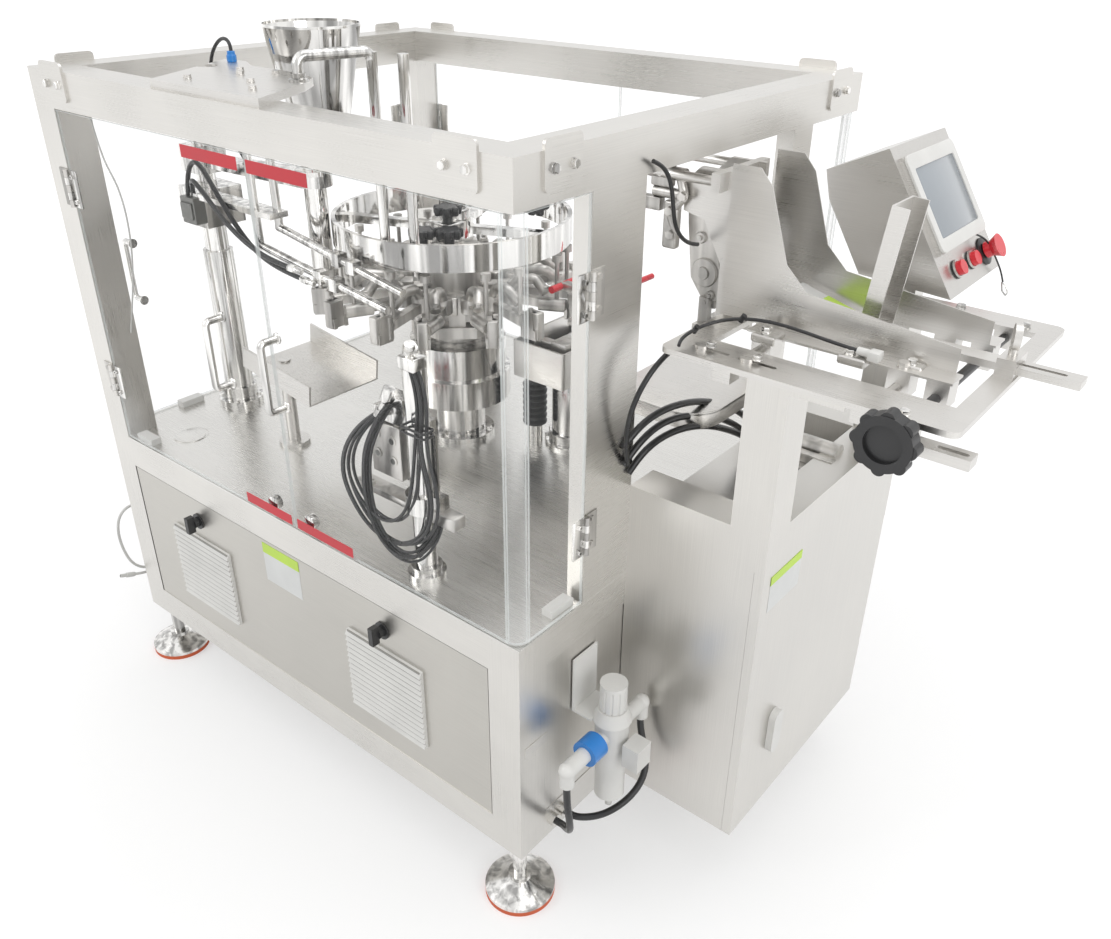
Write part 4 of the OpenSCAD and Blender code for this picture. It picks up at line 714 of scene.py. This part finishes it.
# Bolts with washers on the corner lugs
lugBolts = {"first": (67, 103), "height": 1219, "size": 6.4, "proud": 4}
bolt = hexBolt(lugBolts["size"])
z, proud = lugBolts["height"], lugBolts["proud"]
places = []
for offset in lugBolts["first"]:
    for x in (offset, long - offset):
        places += [frameAt((x, -proud, z), (0, -1, 0)), frameAt((x, deep + proud, z), (0, 1, 0))]
    for y in (offset, deep - offset):
        places += [frameAt((-proud, y, z), (-1, 0, 0)), frameAt((long + proud, y, z), (1, 0, 0))]
dress(repeated(bolt, places), "lug_bolts", "polishedSteel")

# Painted shadow in the louvres: dark grey strips under each slat, where shade falls
vents = {"left": (178, 700), "width": 182, "low": 238, "slats": 14, "pitch": 165 / 14}
shadeStrips = []
for x in vents["left"]:
    for k in range(vents["slats"]):
        z = vents["low"] + (k + 1) * vents["pitch"]
        shadeStrips.append(((x + 3, -5.2, z - 4), (x + vents["width"] - 3, -3.2, z - 0.8)))
plates("vent_painted_shade", shadeStrips, "shadowGrey", "frame", 0)
print("labels and bolts made")

# Castings on the gripper arms: one fixed and one swinging shape, at eight stations
grip = {"height": 849, "pivot": (112, 24), "claw": (240, 58)}


def stationFrame(number):
    turn = math.radians(45 * number)
    return frameAt((*body["axis"], grip["height"]), (0, 0, 1), (math.cos(turn), math.sin(turn), 0))


def lever(side):
    r, y = grip["pivot"]
    far, out = grip["claw"]
    parts = [bar([(r + 2, side * y, 20), (r + 20, side * (y + 4), 44), (r + 52, side * (y + 14), 50),
                  (far - 50, side * (out - 22), 30)], 19, 16, 6, 6),
             bar([(far - 62, side * (out - 26), 8), (far - 18, side * (out - 4), 8)], 24, 0, 6, 6),
             bar([(far - 12, side * (out + 6), 30), (far - 12, side * (out + 6), -10)], 17, 0, 6, 5)]
    boss = turned([(15, -3), (17, -1), (17, 22), (15, 25), (8, 25), (7, 27)], 28)
    parts.append(settle(boss, Matrix.Translation((r / 1000, side * y / 1000, 0))))
    cap = hexBolt(7)
    parts.append(settle(cap, Matrix.Translation(((far - 50) / 1000, side * (out - 22) / 1000, 0.036))))
    jaw = slab((far - 12, side * out - 9, -14), (far + 18, side * out + 9, 34), 2.5, 3)
    parts.append(jaw)
    return faceOut(joined(parts))


fixedLever = joined([lever(-1), slab((78, -30, -12), (104, 2, 22), 3, 3)])
dress(repeated(fixedLever, [stationFrame(k) for k in range(8)]), "fixed_castings", "castSteel", "turret")
swinging = lever(1)
for number in range(8):
    piece = copyOf(swinging, stationFrame(number))
    dress(piece, f"swing_casting_{number + 1}", "castSteel", f"swing_arm_{number + 1}")
bpy.data.objects.remove(swinging)
print("gripper castings made")


# Black star knobs and the carriage blocks round the mast
def starKnob(radius, height, lobes=7):
    core = turned([(radius * 0.36, 0), (radius * 0.4, height * 0.35), (radius * 0.8, height * 0.5),
                   (radius * 0.8, height * 0.92), (radius * 0.7, height)], 28)
    lobe = turned([(radius * 0.22, height * 0.45), (radius * 0.27, height * 0.52), (radius * 0.27, height * 0.9),
                   (radius * 0.2, height)], 14)
    made = [copyOf(lobe, Matrix.Rotation(2 * math.pi * k / lobes, 4, "Z")
                   @ Matrix.Translation((radius * 0.78 / 1000, 0, 0))) for k in range(lobes)]
    bpy.data.objects.remove(lobe)
    return joined([core] + made)


knob = starKnob(24, 26)
dress(repeated(knob, [frameAt((632, 352, 978)), frameAt((598, 322, 978)), frameAt((590, 392, 1002)),
                      frameAt((640, 560, 1010), (1, -0.4, 0.2))]), "ring_knobs", "blackPlastic")
collar = turned([(30, 0), (32, 2), (32, 18), (30, 20), (24, 20), (24, 52), (22, 54)], 40)
mast = [settle(collar, frameAt((*body["axis"], 988))),
        settle(slab((598, 300, 958), (634, 344, 978), 3, 3)), settle(slab((560, 372, 966), (612, 412, 1002), 3, 3))]
dress(joined(mast), "mast_collars", "polishedSteel")

# Opener hoses and valve, riding with the opener
plates("opener_valve", [((100, 178, 956), (142, 204, 1006)), ((104, 174, 966), (138, 180, 996))],
       "darkSteel", "opening_rods", 1.5)
openerHoses = {
    "near": [(112, 190, 1006), (116, 190, 1030), (132, 189, 1062), (160, 186, 1078), (190, 183, 1062), (227, 181, 1020),
             (277, 181, 968), (328, 181, 934), (397, 181, 921), (452, 182, 917)],
    "far": [(130, 190, 1006), (133, 188, 1024), (150, 178, 1044), (178, 172, 1038), (231, 170, 1000), (267, 169, 976),
            (327, 169, 950), (380, 170, 940), (434, 172, 936)],
    "diameter": 9,
}
for end in ("near", "far"):
    layCord("opener_hose_" + end, openerHoses[end], openerHoses["diameter"], "cableBlack",
            rides="opening_rods")
ends = [frameAt(openerHoses[k][-1], Vector(openerHoses[k][-1]) - Vector(openerHoses[k][-2])) for k in ("near", "far")]
nut = joined([turned([(6.5, -12), (7.5, -11), (7.5, 2), (6, 3)], 6), turned([(5, 3), (5, 20), (4, 21)], 20)])
dress(repeated(nut, ends), "opener_nuts", "polishedSteel", "opening_rods")

# Cover hose with its blue push fitting
coverHose = [(290, 205, 1262), (290, 206, 1272), (284, 208, 1282), (270, 210, 1287), (250, 212, 1282), (228, 213, 1266),
             (212, 214, 1242), (202, 218, 1212), (196, 226, 1178), (192, 238, 1138), (194, 252, 1102), (200, 262, 1074)]
layCord("cover_hose", coverHose, 6, "cableBlack")
fitting = settle(turned([(7, 1252), (8, 1253), (8, 1262), (6.5, 1264), (6.5, 1268), (5.4, 1269)], 24),
                 frameAt((290, 205, 0)))
dress(fitting, "cover_fitting", "bluePlastic")

# Sensor bundle on the column, with its tie, connectors and terminal block
bundle = {
    "left": [(862, 32, 925), (876, 28, 905), (884, 26, 865), (878, 25, 829), (870, 25, 779), (860, 25, 725),
             (840, 25, 672), (799, 25, 640), (753, 25, 648), (722, 25, 680), (712, 25, 718), (731, 27, 764),
             (765, 34, 806), (792, 42, 828)],
    "right": [(870, 32, 925), (886, 27, 900), (892, 26, 865), (888, 25, 829), (886, 25, 789), (900, 25, 744),
              (902, 26, 701), (884, 26, 652), (838, 26, 613), (781, 26, 604), (736, 26, 628), (707, 26, 670),
              (700, 26, 708), (716, 28, 756), (752, 34, 800), (786, 42, 826)],
    "strand": 5.4, "offsets": ((0, 0), (5, 5), (-5, 4)),
}
for side, used in (("left", 2), ("right", 3)):
    for number, (dx, dy) in enumerate(bundle["offsets"][:used]):
        count = len(bundle[side]) - 1
        route = [(x + dx * (1 + 0.8 * math.sin(math.pi * k / count)), y + dy * 0.8, z + dx * 0.5)
                 for k, (x, y, z) in enumerate(bundle[side])]
        layCord(f"bundle_{side}_{number + 1}", route, bundle["strand"], "cableBlack")
tie = joined([settle(bar([(858, 15, z), (904, 15, z), (904, 36, z), (858, 36, z), (858, 15, z)], 4, 5))
              for z in (826, 834)])
dress(tie, "bundle_tie", "cableBlack")
head = [settle(turned([(18, 874), (18, 916), (16, 918)], 36), frameAt((852, 53, 0))),
        settle(slab((850, 22, 918), (884, 50, 938), 3, 3)), settle(bar([(866, 34, 938), (872, 30, 958)], 16)),
        settle(bar([(866, 34, 944), (871, 31, 952)], 21))]
dress(joined(head), "column_head", "polishedSteel")
sockets = [settle(bar([(796, 44, 842), (786, 40, 822)], 15)), settle(bar([(788, 41, 830), (784, 39, 818)], 18)),
           settle(bar([(804, 46, 866), (796, 43, 846)], 19))]
dress(joined(sockets), "sensor_sockets", "polishedSteel")
ports = ((762, 778), (796, 774), (762, 744), (796, 740))
block = [settle(slab((746, 50, 708), (812, 71, 800), 2.5, 3)), settle(slab((700, 48, 664), (900, 76, 676), 2, 2)),
         settle(slab((880, 40, 668), (930, 66, 690), 3, 3))]
for x, z in ports:
    block.append(settle(turned([(7.5, 0), (8, 0.8), (8, 1.6), (6, 2)], 22), frameAt((x, 50, z), (0, -1, 0))))
screw = capScrew(6)
block.append(repeated(screw, [frameAt((x, y, 676)) for x, y in ((716, 60), (734, 56), (828, 58), (846, 40))]
                      + [frameAt((x, 60, 800)) for x in (758, 800)]))
dress(joined(block), "terminal_block", "castSteel")
holes = [settle(turned([(5, 0), (5, 2.4)], 20), frameAt((x, 50, z), (0, -1, 0))) for x, z in ports]
dress(joined(holes), "terminal_holes", "darkSteel")
print("sensor wiring made")

# Red lever bars with their holder behind the ring
rods = [settle(bar([(778, 449, 903), (778, 700, 908)], 13)), settle(bar([(826, 540, 880), (832, 680, 882)], 11))]
dress(joined(rods), "red_levers", "redPlastic")
holder = [settle(slab((816, 446, 850), (846, 560, 862), 2, 2)), settle(slab((820, 500, 862), (838, 540, 898), 2, 2)),
          settle(slab((768, 474, 896), (842, 494, 910), 2, 2)), settle(slab((820, 470, deck), (836, 500, 850), 2, 2))]
dress(joined(holder), "lever_holder", "castSteel")

# Round cover on the deck, and the wire down the left post
disc = settle(turned([(30, 0), (30, 1.2), (28.5, 1.8)], 48), frameAt((151, 80, deck)))
dress(disc, "deck_disc", "deckSteel")
leftWire = [(150, 14, 1178), (168, 12, 1110), (190, 10, 1088), (205, 10, 1064), (213, 10, 1024),
            (209, 10, 972), (190, 12, 914), (160, 14, 851), (130, 16, 790)]
layCord("left_wire", leftWire, 3, "cableGrey")
print("deck parts made")

# Black air hoses between the machine and the stand, with their diameters
airHoses = {
    "air_hose_wide": (11, [(1092, 236, 760), (1098, 262, 786), (1106, 300, 806), (1108, 356, 800), (1110, 433, 775),
                           (1112, 505, 738), (1114, 560, 700), (1114, 590, 668)]),
    "air_hose_low": (11, [(1092, 250, 740), (1100, 280, 772), (1112, 330, 786), (1122, 400, 774), (1130, 470, 742),
                          (1134, 540, 700), (1136, 575, 664)]),
    "air_hose_high": (11, [(1092, 232, 790), (1100, 262, 818), (1108, 313, 830), (1110, 400, 812), (1110, 480, 778),
                           (1112, 560, 730), (1114, 600, 690)]),
    "air_hose_riser": (8, [(1096, 242, 760), (1104, 222, 800), (1112, 214, 850), (1120, 222, 888), (1126, 244, 918),
                           (1131, 278, 938), (1136, 322, 947)]),
    "feeder_hose": (6, [(1098, 262, 1196), (1100, 284, 1186), (1102, 300, 1166), (1102, 309, 1138),
                        (1100, 318, 1106), (1098, 340, 1080), (1096, 370, 1064), (1092, 398, 1056)]),
}
for name, (diameter, route) in airHoses.items():
    layCord(name, route, diameter, "cableBlack")
shelf = sheetPlate(roundRect(958, 372, 1140, 600, 60, 10), 5, (), 1)
folded = sheetPlate(roundRect(958, 372, 1140, 600, 60, 10), 26, [roundRect(961, 375, 1137, 597, 57, 10)], 0.5)
shelf = joined([settle(shelf, frameAt((0, 0, 792))), settle(folded, frameAt((0, 0, 770)))])
dress(shelf, "hose_shelf", "plateSteel")
print("air hoses made")

# Table: cable with ties and connector, clamps, bolts, pouches, and the rollers under it
tableCable = [(1166, 246, 966), (1160, 262, 972), (1166, 300, 978), (1188, 332, 985), (1222, 348, 988),
              (1262, 354, 988), (1310, 354, 984), (1345, 352, 982), (1376, 351, 981)]
ties = [settle(bar([(x - 3, y, z - 5), (x + 3, y, z + 5)], 8)) for x, y, z in ((1164, 290, 976), (1206, 342, 987))]
dress(joined(ties), "table_ties", "cableBlack")
plug = [settle(bar([(1372, 351, 981), (1392, 350, 981)], 11)), settle(slab((1388, 341, 974), (1404, 359, 987), 2, 2))]
plug = dress(joined(plug), "table_connector", "whitePlastic")
layCord("table_cable", tableCable, 5, "cableBlack")
blocks = [((1226, 332, 962), (1262, 366, 974)), ((1350, 338, 962), (1388, 370, 974)),
          ((1420, 372, 962), (1450, 392, 970))]
plates("table_clamps", blocks, "plateSteel", "frame", 2)
bolt = hexBolt(7)
spots = [(1200, 274, 965), (1270, 274, 965), (1240, 350, 974), (1362, 352, 974), (1376, 362, 974), (1434, 382, 970),
         (1478, 252, 960), (1200, 649, 965), (1270, 649, 965), (1400, 660, 960), (1500, 640, 960)]
dress(repeated(bolt, [frameAt(p) for p in spots]), "table_bolts", "polishedSteel")
film = sheetPlate(roundRect(0, -49, 118, 49, 4), 1.4, (), 0.2)
filmFrame = frameAt((1212, 457.5, 997), (0.28, 0, 1), (1, 0, -0.28))
dress(settle(film, filmFrame), "pouch_stack", "pouchFilm", "pouch_pusher")
band = sheetPlate(roundRect(44, -49.4, 108, 49.4, 2), 2.2, (), 0.2)
dress(settle(band, filmFrame @ Matrix.Translation((0, 0, -0.0003))), "pouch_band", "labelLime",
      "pouch_pusher")
rollers = [settle(bar([(1200, 560, 712), (1290, 560, 712)], 34)), settle(slab((1186, 470, 690), (1200, 620, 720), 2)),
           settle(slab((1200, 500, 676), (1300, 530, 700), 2)), settle(slab((1212, 520, 700), (1296, 536, 716), 1))]
dress(joined(rollers), "stand_rollers", "castSteel")
print("table made")

# Feeder arm: side plates and round pads moving with the arm, and the links beside it
feeder = {"pivot": (1076, 457.5, 1119), "lean": 9}
lean = math.radians(feeder["lean"])
armFrame = frameAt(feeder["pivot"], (-math.sin(lean), 0, math.cos(lean)), (1, 0, 0))
side = sheetPlate([(-20, 14), (14, 14), (22, -60), (26, -150), (-4, -162), (-26, -120), (-24, -40)], 6, (), 0.8)
flip = Matrix.Rotation(math.radians(90), 4, "X")
parts = [copyOf(side, armFrame @ Matrix.Translation((0, y / 1000, 0)) @ flip) for y in (-28, 34)]
bpy.data.objects.remove(side)
for place, radius in (((0, -34, -112), 22), ((-2, -34, -60), 9), ((8, -34, -146), 7), ((0, 34, -112), 22)):
    tip = math.radians(90 if place[1] < 0 else -90)
    pad = turned([(radius, 0), (radius, 3), (radius - 1.5, 5), (radius * 0.45, 5), (radius * 0.4, 8)], 32)
    parts.append(settle(pad, armFrame @ Matrix.Translation(Vector(place) / 1000)
                        @ Matrix.Rotation(tip, 4, "X")))
dress(joined(parts), "feeder_plates", "castSteel", "feeder_arm")
links = [settle(bar([(1050, 404, 1150), (1062, 402, 1120), (1040, 402, 1090), (1052, 402, 1064)], 13, 10)),
         settle(slab((1030, 397, 1040), (1054, 412, 1110), 4, 3)),
         settle(slab((1006, 396, 1128), (1040, 412, 1168), 3, 2)),
         settle(bar([(1000, 402, 1149), (1062, 402, 1149)], 19)),
         settle(bar([(1010, 403, 1120), (1056, 403, 1120)], 16)),
         settle(slab((984, 397, 1092), (1024, 412, 1112), 3, 2))]
knobs = hexBolt(8)
spots = ((1062, 1120), (1042, 1096), (1046, 1062), (1024, 1150))
links.append(repeated(knobs, [frameAt((x, 398, z), (0, -1, 0)) for x, z in spots]))
dress(joined(links), "feeder_links", "castSteel")
print("feeder made")

# Console cord with its key, between the screen and the buttons
cordPath = ((160, -176, 4), (172, -190, 14), (182, -206, 16), (196, -236, 12), (206, -258, 8), (204, -276, 5))
cordPath = [(machine.inverted() @ (faceFrame @ (Vector(p) / 1000))) * 1000 for p in cordPath]
keyRing = bar([(204, -276, 3), (214, -284, 3), (212, -296, 3), (198, -298, 3), (192, -288, 3), (204, -276, 3)], 2.6, 3)
keyRing = dress(settle(keyRing, faceFrame), "console_key", "polishedSteel")
layCord("console_cord", cordPath, 3, "cableBlack")
print("console cord made")

# Floor, backdrop and lamps
studio = {"floor": (0.56, 0.56, 0.56), "lift": 0.42, "far": (0.9, 3.6), "farLift": 0.62, "world": 0.84, "sky": 1.0,
          "key": 44, "fill": 34, "top": 34}


def seenRays(tree):  # what the camera sees, straight, mirrored or through the acrylic
    rays = addNode(tree, "LightPath").outputs
    seen = calc(tree, "MAXIMUM", rays["Is Camera Ray"], rays["Is Glossy Ray"])
    return calc(tree, "MAXIMUM", seen, rays["Is Transmission Ray"])


clearSelection()
bpy.ops.mesh.primitive_plane_add(size=60, location=(0, 0, 0))
floor = bpy.context.object
floor.name = "studio_floor"
floorMaterial, tree, shader = newMaterial("floorPaint", studio["floor"], Roughness=0.8)
floor.data.materials.append(floorMaterial)
seen = seenRays(tree)
place = addNode(tree, "TexCoord").outputs["Object"]
away = addNode(tree, "VectorMath", {0: place}, operation="LENGTH").outputs["Value"]
lift = mapped(tree, away, studio["lift"], studio["farLift"], *studio["far"])
tree.links.new(calc(tree, "MULTIPLY", seen, lift), shader.inputs["Emission Strength"])
shader.inputs["Emission Color"].default_value = (1, 1, 1, 1)
world = bpy.data.worlds.new("studioWorld")
world.use_nodes = True
bpy.context.scene.world = world
tree = world.node_tree
background = tree.nodes["Background"]
seen = seenRays(tree)
tree.links.new(mapped(tree, seen, studio["world"], studio["sky"], 0, 1), background.inputs["Strength"])
background.inputs["Color"].default_value = (1, 1, 1, 1)


def softLamp(name, place, target, size, power):
    lamp = bpy.data.lights.new(name, "AREA")
    lamp.size, lamp.energy = size, power
    made = bpy.data.objects.new(name, lamp)
    bpy.context.scene.collection.objects.link(made)
    made.location = place
    made.rotation_euler = (Vector(place) - Vector(target)).to_track_quat("Z", "Y").to_euler()


softLamp("keyLamp", (-2.6, -3.4, 3.6), (0, 0, 0.7), 2.6, studio["key"])
softLamp("fillLamp", (3.8, -1.0, 2.2), (0, 0, 0.6), 2.2, studio["fill"])
softLamp("topLamp", (0.4, 0.8, 4.2), (0, 0, 0.6), 3.0, studio["top"])
bpy.context.scene.view_settings.view_transform = "Standard"
print("studio set")
